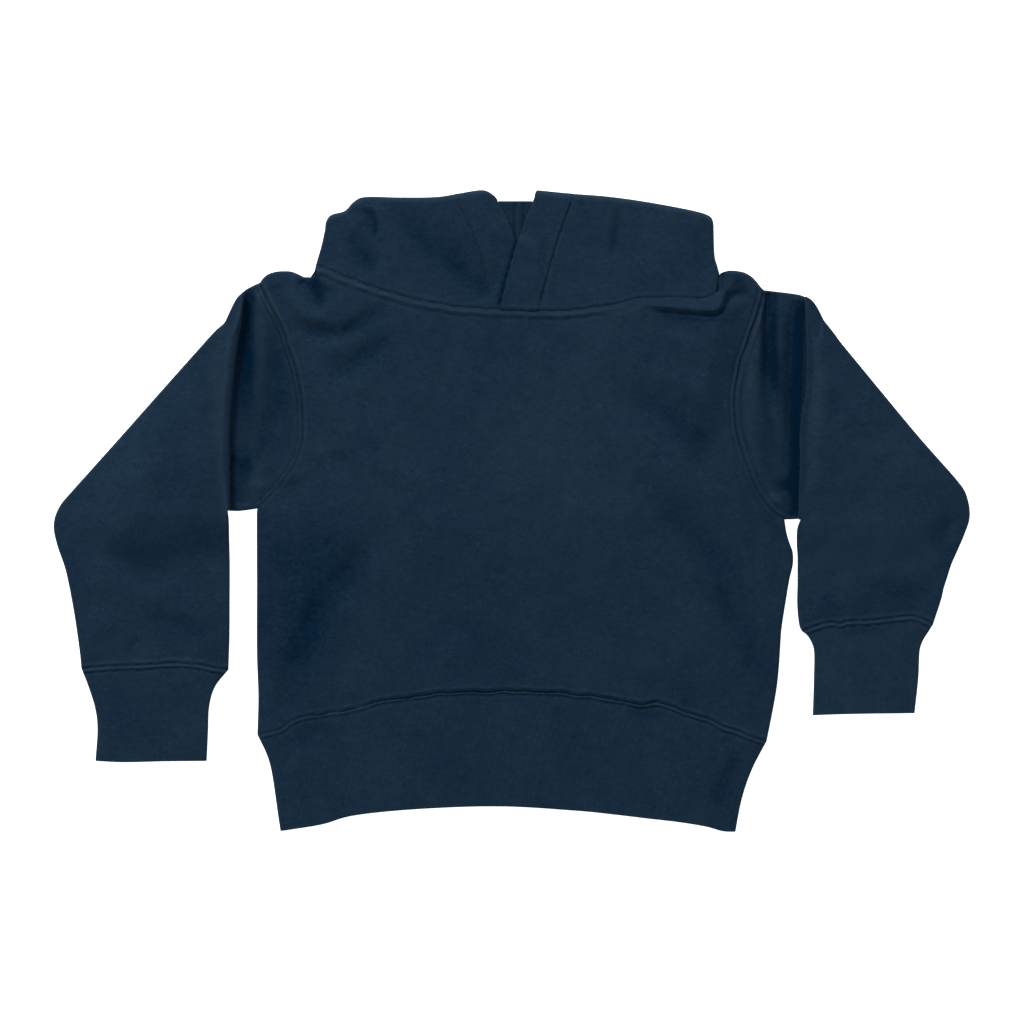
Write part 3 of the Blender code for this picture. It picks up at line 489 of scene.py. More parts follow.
def torsoHeight(x, y):
    # From the underside to the top: a pressed tube with its loft and folds.
    heights, reach, above, ramp = torso["level"], torso["reach"], torso["reachAbove"], torso["sideRamp"]
    atShoulders, atWaist = torso["loftShare"]["shoulders"], torso["loftShare"]["waist"]
    up = smooth((y - heights["underarm"]) / 30)
    inside = np.where(x < 0, reach["left"] + above["left"] * up + x,
                      reach["right"] + above["right"] * up - x)
    loft = smooth(inside / (ramp["below"] + (ramp["above"] - ramp["below"]) * up))
    loft = loft * (atShoulders + (1 - atShoulders) * smooth((heights["shoulders"] - y) / 40))
    loft *= atWaist + (1 - atWaist) * smooth((y - heights["waist"]) / 30)
    uneven = cloth["waviness"] * (waves(x, y, 34, 3) + 0.5 * waves(x, y, 15, 4))
    height = tube + torso["loft"] * loft + uneven * smooth(inside / 10)
    return np.maximum(height + creases(torso["folds"], x, y), lowest)


def torsoGrid(neck, inset, medium, fine):
    # Plan of the front or back. Numbers run 0-3 along the top (shoulder, neck, shoulder), 0-2 up a side.
    lines = torso["lines"]
    shoulder, arm = lines["shoulders"]["left"].length, lines["armholes"]["left"].length
    side = lines["sides"]["left"].length
    corner = edgeSteps[edgeSteps < 3]
    single = np.array([0.0])

    def columns(edge):
        shoulderSteps = steps(shoulder, fine, edge, single) / shoulder
        turnedCorner = insetSteps(corner, inset)
        neckSteps = graded(neck.length, turnedCorner, turnedCorner, 34, 62, fine, medium) / neck.length
        return np.concatenate([shoulderSteps, 1 + neckSteps[1:-1], 3 - shoulderSteps[::-1]])

    def rows(cornerSteps, topSteps):
        sideSteps = steps(side, medium, edgeSteps, single)[:-1] / side
        armSteps = graded(arm, cornerSteps, topSteps, 0, 62, fine, medium) / arm
        return np.concatenate([sideSteps, 1 + armSteps])

    turned, flat = insetSteps(edgeSteps, inset), edgeSteps
    turnedCorner = insetSteps(corner, inset)
    upShoulder, upNeck = rows(turnedCorner, turned), rows(turnedCorner, flat)
    acrossSide, acrossArm = columns(turned), columns(flat)
    across = np.where((upNeck < 1)[:, None], acrossSide[None, :], acrossArm[None, :])
    atShoulder = ((acrossArm < 1) | (acrossArm > 2))[None, :]
    up = np.where(atShoulder, upShoulder[:, None], upNeck[:, None])

    top = chain(lines["shoulders"]["left"], neck, Outline(torso["shoulders"]["right"][::-1]))
    left = chain(lines["sides"]["left"], lines["armholes"]["left"])
    right = chain(lines["sides"]["right"], lines["armholes"]["right"])
    u = np.interp(across, [0, 1, 2, 3], [0, 0.115, 0.885, 1])
    near, far = edgeOf(lines["waistSeam"].at, u), edgeOf(top, across, 0, 3)
    return patch(u, up / 2, near, far, left(up), right(up), 2)


def frontSeams(x, y):
    # Ridges and grooves of the seams, and the gathers beside them.
    lines = torso["lines"]
    seams = seamed(torso["waistRidge"], lines["waistSeam"], x, y, 73, torso["waistStrength"])
    gathers = pucker(lines["waistSeam"], x, y, 60)
    rolled = smooth((x - 50) / 26)    # the seam allowance rolls out at the right end
    seams += (1 - rolled) * seamed(torso["neckRidge"], lines["frontNeck"], x, y, 74)
    seams += rolled * relief(torso["neckRoll"], lines["frontNeck"].away(x, y)[0])
    gathers += pucker(lines["frontNeck"], x, y, 61, 0.7)
    for side, line in lines["armholes"].items():
        seams += seamed(torso["armholeRidge"][side], line, x, y, 71, torso["armholeStrength"][side])
        gathers += pucker(line, x, y, 62, 0.7)
    return seams, gathers


def torsoPanel(name, isFront):
    lines = torso["lines"]
    neck = lines["frontNeck" if isFront else "backNeck"]
    turned = [lines[key][side] for key in ("sides", "shoulders") for side in ("left", "right")]
    medium = cloth["medium" if isFront else "coarse"]
    skins, nap = [], []
    for inset in (0, cloth["fleece"]):
        plan = torsoGrid(neck, inset, medium, cloth["fine"] if isFront else medium)
        x, y = plan[..., 0], plan[..., 1]
        away = np.min([line.away(x, y)[0] for line in turned], axis=0)
        rise = turnedRise(away, inset)
        middle = half + (0.15 if isFront else -0.15)
        level = torsoHeight(x, y) - inset if isFront else np.full_like(x, float(inset))
        height = torsoBase(x, y) + middle + (level - middle) * rise
        nap.append(0 * x)
        if isFront:
            seams, gathers = frontSeams(x, y)
            height += (seams * (1 if inset == 0 else 0.3) + gathers) * rise
            # painted light and shade of the seams, folds and patches, and painted rim light where the cloth
            # turns over
            paintedLightAndTone = paintedSeamShading(seams) + paintedReliefShading(creases(torso["folds"], x, y)) + creases(torso["paintedShades"], x, y)
            nap[-1] = (paintedLightAndTone * rise + cloth["paintedRimLight"] * (1 - rise)) * (inset == 0)
        skins.append(skinPoints(plan, height))
    return clothWall(name, *skins, nap=nap)


# Tubes: sleeves, cuffs and waistband

def ringPlaces(width, inset, count):
    # Shares across a pressed tube, and rises from its middle, for the points all the way round.
    near = insetSteps(edgeSteps, inset) / width
    flat = edgeSteps[-1] / width
    rise = np.sqrt(1 - np.clip(1 - edgeSteps / half, 0, 1) ** 2)
    across = np.concatenate([near, np.linspace(flat, 1 - flat, count + 2)[1:-1], 1 - near[::-1]])
    rise = np.concatenate([rise, np.ones(count), rise[::-1]])
    return np.concatenate([across, across[-2:0:-1]]), np.concatenate([rise, -rise[-2:0:-1]])


def squeeze(u):
    # The folds of a whole tube are narrower towards their ends.
    return 0.25 + 0.75 * smooth((u - 0.08) / 0.16) - 0.65 * smooth((u - 0.82) / 0.18)


def tubeWall(name, rows, thickness, count, detail, end=None):
    # Each row has its plan, width, direction of its upper side, and heights as functions of x, y.
    # The detail of a row is its seams, its gathers, and its painted light and shade with its tone.
    skins, nap = [], []
    for inset in (0, thickness):
        grid = []
        for row in rows:
            across, rise = ringPlaces(row["width"], inset, count)
            plan = row["plan"](across)
            x, y = plan[:, 0], plan[:, 1]
            upper, lower = np.clip(rise, 0, None), np.clip(-rise, 0, None)
            loft = row["height"](x, y) - tube
            if inset == 0:
                seams, gathers, paintedLightAndTone = detail(x, y, row)
                loft = loft + seams + gathers
                # painted rim light where the tube turns over, and at its hem
                hem = np.exp(-end.away(x, y)[0] ** 2) if end else 0
                nap.append((paintedSeamShading(seams) + paintedLightAndTone) * upper + cloth["paintedRimLight"] * (1 - np.abs(rise) + hem))
            draw = hemDraw(end.away(x, y)[0], thickness) * (-1 if inset == 0 else 1) if end else 0
            offset = rise * (half - inset) + upper * (loft + draw) - lower * draw
            side, up = row["normal"]
            side = side * squeeze(across) if side else 0
            grid.append(np.stack([x + side * offset, y, row["middle"](x, y) + up * offset], axis=1))
        skins.append(np.array(grid))
    nap = np.array(nap)
    return clothWall(name, *skins, nap=(nap, 0 * nap), closed=True)


def patchRows(shares, near, far, first, last, middle, height, normal=(0, 1), lag=1, layer="top"):
    rows = []
    for v in shares:
        def plan(u, v=v):
            v = np.full_like(u, v)
            return patch(u, v, edgeOf(near.at, u), edgeOf(far.at, u), first.at(v), last.at(v ** lag))
        line = plan(np.linspace(0, 1, 40))
        width = float(np.linalg.norm(np.diff(line, axis=0), axis=1).sum())
        rows.append({"plan": plan, "width": width, "normal": normal, "middle": middle, "height": height,
                     "layer": layer})
    return rows


def level(value):
    return lambda x, y: np.full_like(x, value)


def foldRows(line, outward, centre, upperInside, count):
    # Half way round a fold of the whole tube, about a line in plan at the height of its centre.
    rows = []
    inside = 1 if upperInside else -1
    for turn in np.linspace(0, math.pi, count + 2)[1:-1]:
        swing = math.sin(turn)

        def plan(u, swing=swing):
            place = line.at(u)
            place[:, 0] += outward * pitch / 2 * swing * squeeze(u)
            return place
        rows.append({"plan": plan, "width": line.length, "layer": "fold",
                     "normal": (-inside * outward * swing, inside * math.cos(turn)),
                     "middle": level(centre - pitch / 2 * math.cos(turn)), "height": level(tube)})
    return rows


# A sleeve runs out from the armhole, turns back at a hidden fold, and out again at the fold that shows.
sleeves = {
    "loft": 2.2,
    "around": 56,         # cells across each skin
    "first": {"length": 60, "cell": 1.1},                 # of the layer beside the armhole
    "top": {"length": 150, "fine": (0.09, 18), "open": (0.94, 76)},    # shares where cells end, their count
    "slope": {"outward": 42, "down": 34},                 # over which the top layer comes down
    "endLag": 2.2,
    "left": {
        "outward": -1,
        "cap": [(-161.4, 146.8), (-166.6, 144.4), (-171.4, 141.6), (-174.4, 138), (-175.8, 132.5)],
        "hiddenFold": [(-175.8, 132.5), (-180.8, 121.5), (-188, 108), (-198, 90), (-212, 62),
                       (-226, 28), (-229, 4)],
        "underarm": [(-163.2, 2.0), (-172, 0.6), (-180, 0.4), (-206, 2.4), (-229, 4)],
        "fold": [(-170.8, 140.2), (-171.8, 131), (-173.0, 120), (-175.4, 106), (-178.2, 80), (-180.0, 56),
                 (-180.2, 36), (-180.0, 0.6)],
        "outer": [(-172.4, 140.2), (-175.2, 137.2), (-177.6, 133.4), (-179.7, 129.2), (-181.7, 124.8),
                  (-184.2, 120.2), (-189.8, 115.3), (-200.2, 103.8), (-246.6, 52.2), (-281, 14.2),
                  (-290.4, 2.6), (-293.8, -8.8), (-291.5, -21.6), (-286, -38), (-281, -63),
                  (-277.3, -88), (-276, -100.6)],
        "inner": [(-181.6, 0.6), (-180.9, -6), (-180.9, -20), (-180.8, -40), (-180.9, -60), (-181.0, -80),
                  (-181.7, -101.4)],
        "cuffSeam": [(-276, -100.6), (-262, -99.4), (-250, -98.7), (-236, -98.3), (-222, -97.2),
                     (-208, -97.2), (-200, -98.2), (-192, -100.0), (-181.7, -101.4)],
        "armholeRidge": [(0.0, 0.65, -0.6), (1.6, 0.75, 0.4), (3.0, 0.6, -0.5), (4.6, 0.9, 0.25),
                         (8.5, 3.0, -0.3)],
        # painted light beside the fold that shows, and over its turn painted light above 0 and painted
        # shade below 0
        "foldNap": (0.9, 0.2),
        "folds": [  # of the first layer: a roll beside the armhole, and the valley under the fold
            stroke([(-161.4, 143), (-161, 131), (-160.6, 97), (-160, 66), (-157, 44)], 4.4, 3.6,
                   start=0.06, end=0.35, lean=0.3),
            stroke([(-171, 140), (-171.4, 120), (-171.6, 80), (-173, 40), (-176, 4)], 6.8, -3.2,
                   start=0.05, end=0.02, sharp=4.0),
            stroke([(-176, 42), (-168, 36), (-158, 33)], 5.0, -2.4, start=0.02),
            stroke([(-168, 20), (-163, 17), (-157, 14)], 3.6, 1.8),
        ],
        # painted shade in the valleys under the fold and beside the armhole, and painted light on the rolls
        # between
        "paintedShades": [
            stroke([(-168.6, 144), (-169.6, 112), (-170.4, 84), (-172.4, 58), (-174, 42)], 4.8, -1.3,
                   sharp=3.0, start=0.02, end=0.55),
            stroke([(-177, 84), (-179, 50), (-179, 10)], 2.6, 0.2),
            stroke([(-151, 136), (-151, 104), (-148, 74), (-147, 46)], 7.5, -0.75),
            stroke([(-162, 118), (-160, 80), (-158, 50), (-156, 20)], 9, -0.6),
            stroke([(-181, 33), (-173, 30), (-164, 31)], 5.5, -1.1, start=0.02),
            stroke([(-180, 12), (-176, 16), (-170, 25)], 4, -0.6, start=0.02),
            stroke([(-171, 20), (-165, 17), (-158, 12)], 4.5, 0.6),
        ],
    },
    "right": {
        "outward": 1,
        "cap": [(161.4, 141.9), (169, 141.0), (178, 139.9), (184.6, 138.8), (188.8, 136.8), (191.6, 132.8)],
        "hiddenFold": [(191.6, 132.8), (195, 120), (201, 108), (211, 88), (225, 55), (234, 22), (236, -2)],
        "underarm": [(174.6, -5.0), (179, -5.0), (182.6, -4.8), (206, -3), (236, -2)],
        "fold": [(186.8, 137.4), (187.8, 130), (188.2, 118), (188.5, 106), (188.6, 96), (188.2, 84),
                 (187.0, 72), (184.8, 60), (183.9, 46), (184.3, 33), (183.8, 20), (183.0, -5.2)],
        "outer": [(188.4, 137.4), (191.4, 135.2), (194.5, 131.4), (197.0, 126.8), (199.3, 122.2),
                  (202.4, 118.3), (207, 112.4), (213.9, 103.4), (256.6, 52.4), (285.2, 20.2),
                  (291.6, 9.4), (293.4, -3.2),
                  (290.2, -14), (285.1, -26), (281.6, -34), (278.7, -43), (276.5, -50), (275.2, -56),
                  (272.6, -64), (269.8, -72.4)],
        "inner": [(184.2, -5.2), (182.2, -11), (182.0, -20), (182.8, -30), (182.9, -45), (182.7, -60),
                  (184.0, -72.6), (185.8, -76.8)],
        "cuffSeam": [(269.8, -72.4), (263.4, -69.2), (256.3, -67.0), (248.3, -67.6), (241.9, -68.4),
                     (225.9, -70.0), (214.5, -70.3), (210.5, -71.7), (204, -71.0), (197.1, -72.6),
                     (185.8, -76.8)],
        "armholeRidge": [(0.0, 0.65, -0.7), (2.2, 0.9, 0.4), (4.3, 0.8, -0.35), (8.0, 2.6, 0.3)],
        # painted light beside the fold that shows, and over its turn painted light above 0 and painted
        # shade below 0
        "foldNap": (0.15, -0.42),
        "folds": [  # a roll beside the armhole, a valley, a lower roll, and the valley under the fold
            stroke([(156.4, 142), (155, 120), (154.6, 96), (156, 72), (161, 50), (168, 28)], 5.4, 3.0,
                   start=0.06, end=0.3, sharp=3.6),
            stroke([(161, 72), (160.6, 92), (160.4, 116), (160.6, 140)], 1.2, -0.6, step=1.2, reach=4,
                   start=0.4, end=0.02),
            stroke([(166.6, 141), (166.2, 120), (166.0, 92), (169, 66)], 4.4, -3.0, start=0.05, sharp=4.0),
            stroke([(174.4, 138), (173.2, 116), (172.4, 92), (172.4, 62), (172.6, 36)], 3.6, 1.9),
            stroke([(183.6, 136), (182.4, 112), (181.6, 84), (180, 50), (180, 20), (180, -4)], 4.2, -4.0,
                   start=0.05, end=0.02, sharp=4.0),
            stroke([(182, 18), (174, 16), (167, 18)], 3.0, -2.6, start=0.02),
            stroke([(163, 9), (169, 7), (176, 8)], 3.4, 1.7),
        ],
        # painted shade in the valleys beside the armhole roll and under the fold, and painted light on the
        # flap
        "paintedShades": [
            stroke([(165.4, 141), (165.2, 118), (166, 96), (170, 66)], 4.6, -1.1, sharp=4.0, start=0.02,
                   end=0.5),
            stroke([(175, 138), (173.6, 110), (173, 80), (174, 50)], 6.5, -0.9),
            stroke([(185, 136), (184, 112), (183.4, 84), (182, 50), (182, 20), (182, -4)], 4.6, -1.5,
                   sharp=3.0, start=0.02, end=0.02),
            stroke([(184, 21), (176, 17.5), (168, 18)], 5, -1.2, start=0.02),
            stroke([(163, 9), (169, 7), (175, 7)], 3.4, 0.2),
        ],
    },
    "cuffRidge": [(0.0, 0.75, -0.4), (2.0, 1.0, 0.4), (4.4, 1.0, -0.1)],
    # painted light and shade on the top layers of the sleeves
    "paintedShades": [
        stroke([(-186, 124), (-185, 111)], 3.4, 0.8),
        stroke([(-187, 112), (-188, 76), (-189, 30)], 5.5, 0.7),
        stroke([(-257, -20), (-238, -35), (-212, -38)], 9, -0.25),
        stroke([(-230, -64), (-210, -74), (-193, -84)], 7, -0.25),
        stroke([(-270, -95), (-230, -93), (-190, -96)], 5, 0.5),
        stroke([(-214, 40), (-224, 0)], 18, -0.2),
        # painted light where the right sleeve slopes down off the layers under it
        stroke([(174, -24), (215, -25), (250, -24), (278, -22)], 15, 1.1, start=0.02, end=0.15),
        stroke([(233, -54), (252, -56), (264, -62)], 6.5, -0.3, sharp=3.0),
        stroke([(204, -50), (200, -65)], 6, -0.4, sharp=3.0),
        stroke([(197.8, 122), (197.4, 108)], 1.1, 1.5, start=0.1),
        stroke([(230, 70), (244, 20), (240, -30)], 36, 0.3),
        stroke([(196, 112), (196, 70), (193, 20)], 5.5, 0.55),
    ],
    "folds": [  # of the top layer
        stroke([(-262, -18), (-250, -30), (-236, -37), (-220, -40), (-204, -40)], 9, -1.2),
        stroke([(-270, 0), (-252, -12), (-232, -18), (-206, -20)], 11, 0.9),
        stroke([(-238, -60), (-225, -68), (-210, -74), (-192, -81)], 6.5, -1.2),
        stroke([(-260, -76), (-248, -84), (-234, -88)], 7, -1.0),
        stroke([(-272, -30), (-266, -60), (-262, -90)], 8, 0.9),
        stroke([(-232, -84), (-231, -90), (-230, -96)], 4, 0.8),
        stroke([(-222, 44), (-236, 14), (-240, -12)], 14, 0.8),
        stroke([(-204, 96), (-202, 66), (-198, 30), (-196, 0)], 9, 0.8),
        stroke([(290, 8), (282, -6), (273, -17), (262, -28)], 7, -1.1),
        stroke([(266, -58), (254, -52), (240, -50), (226, -52)], 7, -1.7),
        stroke([(210, -56), (206, -46), (206, -36)], 5, -1.0),
        stroke([(278, 6), (262, -10), (246, -20), (224, -26)], 11, 0.8),
        stroke([(196, 116), (197, 80), (195, 40), (193, 8)], 5.5, 0.9),
        stroke([(236, 50), (246, 20), (246, -6)], 13, 0.8),
    ],
}


def sleeve(side):
    shape = sleeves[side]
    outward = shape["outward"]
    seam = torso["lines"]["armholes"][side]
    armhole = Outline(seam.points[::-1], steps=1).moved(-outward * cloth["sewn"])
    fold, hidden, cuffSeam = (Outline(shape[key]) for key in ("fold", "hiddenFold", "cuffSeam"))
    shift = np.array([outward * foldDepth, 0]) * squeeze(fold.share)[:, None]
    foldCentre = Outline(fold.points + shift, steps=1)

    cap = between(shape["cap"], armhole.points[0], hidden.points[0])
    underarm = between(shape["underarm"], armhole.points[-1], hidden.points[-1])
    backTop = Outline([hidden.points[0], foldCentre.points[0]], steps=4)
    backBottom = Outline([hidden.points[-1], foldCentre.points[-1]], steps=4)
    outer = between(shape["outer"], foldCentre.points[0], cuffSeam.points[0])
    inner = between(shape["inner"], foldCentre.points[-1], cuffSeam.points[-1])

    def firstFolds(x, y):
        return creases(shape["folds"], x, y) * smooth(armhole.away(x, y)[0] / 4)

    def firstHeight(x, y):
        return np.maximum(torsoHeight(x, y) + firstFolds(x, y), lowest)

    def topBase(x, y):
        # The top layer lies on the two under it, and slopes down to the surface beyond them.
        foldX = np.interp(y, hidden.points[::-1, 1], hidden.points[::-1, 0]) + outward * (foldDepth + 2)
        beyond = np.clip(outward * (x - foldX), 0, None)
        below = np.clip(hidden.points[-1, 1] - 4 - y, 0, None)
        slope = sleeves["slope"]
        return 2 * pitch * smooth(1 - np.hypot(beyond / slope["outward"], below / slope["down"]))

    def topHeight(x, y):
        edge = np.minimum(outer.away(x, y)[0], inner.away(x, y)[0])
        ends = smooth(fold.away(x, y)[0] / 14) * (0.35 + 0.65 * smooth(cuffSeam.away(x, y)[0] / 16))
        loft = sleeves["loft"] * smooth(edge / 30) * ends
        uneven = cloth["waviness"] * (waves(x, y, 30, 5) + 0.5 * waves(x, y, 14, 6))
        folds = creases(sleeves["folds"], x, y)
        return np.maximum(tube + loft + (folds + uneven) * smooth(edge / 12), lowest)

    # Painted light and shade of each row: of its folds and patches, beside the fold that shows, and over
    # its turn.
    def detail(x, y, row):
        if row["layer"] == "first":
            paintedLightAndTone = paintedReliefShading(creases(torso["folds"], x, y)) + paintedReliefShading(firstFolds(x, y), 0.1, 0.07)
            paintedLightAndTone += creases(shape["paintedShades"], x, y)
            seams = seamed(shape["armholeRidge"], armhole, x, y, 71, torso["armholeStrength"][side][::-1])
            return seams, pucker(seam, x, y, 62, 0.7), paintedLightAndTone
        beside, turned = shape["foldNap"]
        if row["layer"] == "top":
            paintedLightAndTone = paintedReliefShading(creases(sleeves["folds"], x, y)) + creases(sleeves["paintedShades"], x, y)
            paintedLightAndTone += beside * np.exp(-(foldCentre.away(x, y)[0] / 4) ** 2)
            return seamed(sleeves["cuffRidge"], cuffSeam, x, y, 72), pucker(cuffSeam, x, y, 65), paintedLightAndTone
        return 0 * x, 0 * x, np.full_like(x, turned)

    first, top = sleeves["first"], sleeves["top"]
    firstShares = steps(first["length"], first["cell"], last=np.array([0.0])) / first["length"]
    (fineEnd, fineCount), (openEnd, openCount) = top["fine"], top["open"]
    topShares = [np.linspace(0, fineEnd, fineCount)[:-1], np.linspace(fineEnd, openEnd, openCount)[:-1],
                 1 - edgeSteps[::-1] / top["length"]]
    rows = [
        *patchRows(firstShares, armhole, hidden, cap, underarm, level(half), firstHeight, layer="first"),
        *foldRows(hidden, outward, foldDepth, True, 5),
        *patchRows(np.linspace(0, 1, 8), hidden, foldCentre, backTop, backBottom, level(half + pitch),
                   level(tube), (0, -1), layer="hidden"),
        *foldRows(foldCentre, -outward, half + 1.5 * pitch, False, 9),
        *patchRows(np.concatenate(topShares), foldCentre, cuffSeam, outer, inner,
                   lambda x, y: half + topBase(x, y), topHeight, lag=sleeves["endLag"]),
    ]
    return tubeWall(f"sleeve_{side}", rows, cloth["fleece"], sleeves["around"], detail)


cuffs = {
    "loft": 0.8,
    "waviness": 0.16,
    "length": 62,
    "around": 30,
    "left": {
        "outer": [(-276.0, -100.6), (-271, -113.5), (-267, -127), (-265.7, -140), (-267, -159.8)],
        "inner": [(-181.7, -101.4), (-190.4, -112.5), (-194.0, -125), (-194.7, -140), (-195.6, -159.8)],
        "end": [(-267, -159.8), (-248, -160.6), (-222, -160.0), (-195.6, -159.8)],
    },
    "right": {
        "outer": [(269.8, -72.4), (266.7, -77.4), (263.0, -83.4), (261.2, -90.2), (260.4, -107),
                  (258, -129.2)],
        "inner": [(185.8, -76.8), (189.4, -79.6), (192.4, -85), (193.6, -91), (193.4, -107),
                  (192.7, -130.6)],
        "end": [(258, -129.2), (230, -129.5), (206, -130.0), (192.7, -130.6)],
    },
    "seamRidge": [(0.0, 0.75, -0.45), (1.7, 0.85, 0.85), (3.4, 0.7, -0.3), (5.0, 0.8, 0.1)],
    "nap": {"left": 0.1, "right": 0.35},
    # painted shade in the cuffs' hollows and under the seam
    "paintedShades": [
        stroke([(-258, -112), (-246, -130), (-240, -150)], 10, -0.3),
        stroke([(-210, -106), (-214, -128)], 9, -0.25),
        stroke([(210, -77), (222, -76), (238, -75)], 3.4, -0.8),
    ],
}


def cuff(side):
    shape = cuffs[side]
    seam = Outline(sleeves[side]["cuffSeam"]).moved(-sleeves[side]["outward"] * cloth["sewn"])
    end = Outline(shape["end"])
    outer = between(shape["outer"], seam.points[0], end.points[0])
    inner = between(shape["inner"], seam.points[-1], end.points[-1])

    def height(x, y):
        edge = np.minimum(outer.away(x, y)[0], inner.away(x, y)[0])
        uneven = cuffs["waviness"] * waves(x, 0.25 * y, 14, 7)
        return tube + cuffs["loft"] * smooth(edge / 14) + uneven * smooth(edge / 6)

    def detail(x, y, row):
        # each cuff's tone, and its painted shade
        paintedLightAndTone = cuffs["nap"][side] + creases(cuffs["paintedShades"], x, y)
        return seamed(cuffs["seamRidge"], seam, x, y, 72), pucker(seam, x, y, 65), paintedLightAndTone

    shares = steps(cuffs["length"], cloth["medium"]) / cuffs["length"]
    rows = patchRows(shares, seam, end, outer, inner, level(half), height)
    return tubeWall(f"cuff_{side}", rows, cloth["rib"], cuffs["around"], detail, end)


waistband = {
    "loft": 0.8,
    "waviness": 0.16,
    "length": 75,
    "around": 124,
    "hem": [(-148.4, -204.8), (-122, -200.5), (-101, -194.7), (-60, -190.6), (-8, -188.9), (40, -191.6),
            (66, -194.2), (87, -196.7), (107, -199.0), (124, -201.8), (135, -204.8), (143.2, -205.2)],
    "left": [(-163.2, -143.6), (-158.3, -153), (-155.4, -161), (-153.5, -170), (-151.7, -182),
             (-150.2, -193), (-148.4, -204.8)],
    "right": [(162.8, -147.6), (155.3, -162), (150.2, -174.6), (146.4, -188), (143.2, -205.2)],
    "seamRidge": [(0.0, 0.8, -0.45), (1.7, 0.85, 0.8), (3.4, 0.65, -0.4), (5.0, 0.8, 0.1)],
    # painted shade in the waistband's creases, and painted light between them
    "paintedShades": [
        stroke([(148, -152), (138, -172), (128, -196)], 6.5, -0.4),
        stroke([(-142, -148), (-120, -142), (-104, -144)], 6, -0.35),
        stroke([(70, -131), (84, -129), (98, -135)], 5, -0.4),
        stroke([(-60, -130), (-44, -160), (-30, -182)], 14, -0.25),
        stroke([(20, -126), (36, -150), (50, -176)], 15, -0.2),
        stroke([(100, -184), (92, -160)], 10, 0.2),
        stroke([(-112, -186), (-90, -166), (-80, -136)], 12, 0.15),
    ],
    "folds": [
        stroke([(150, -148), (143, -160), (135, -176), (127, -196)], 5.5, -1.3, lean=0.3),
        stroke([(156, -154), (149, -168), (143, -186)], 4, 0.6),
        stroke([(-148, -146), (-136, -148), (-124, -140), (-112, -142)], 5, -1.0),
        stroke([(74, -132), (84, -130), (96, -136)], 5, -0.9),
        stroke([(30, -184), (36, -174), (42, -164)], 5, -0.5),
        stroke([(-140, -160), (-132, -176), (-128, -192)], 8, -0.5),
    ],
}


def waist():
    seam = torso["lines"]["waistSeam"].moved(cloth["sewn"])
    end = Outline(waistband["hem"])
    first = between(waistband["left"], seam.points[0], end.points[0])
    last = between(waistband["right"], seam.points[-1], end.points[-1])

    def height(x, y):
        edge = np.minimum(first.away(x, y)[0], last.away(x, y)[0])
        uneven = waistband["waviness"] * waves(x, 0.4 * y, 22, 8) + creases(waistband["folds"], x, y)
        return tube + waistband["loft"] * smooth(edge / 20) + uneven * smooth(edge / 8)

    def detail(x, y, row):
        # painted light and shade of the folds and patches
        paintedLightAndTone = paintedReliefShading(creases(waistband["folds"], x, y)) + creases(waistband["paintedShades"], x, y)
        seams = seamed(waistband["seamRidge"], seam, x, y, 73, torso["waistStrength"])
        return seams, pucker(seam, x, y, 60), paintedLightAndTone

    shares = steps(waistband["length"], cloth["medium"]) / waistband["length"]
    rows = patchRows(shares, seam, end, first, last, level(half), height)
    return tubeWall("waistband", rows, cloth["rib"], waistband["around"], detail, end)


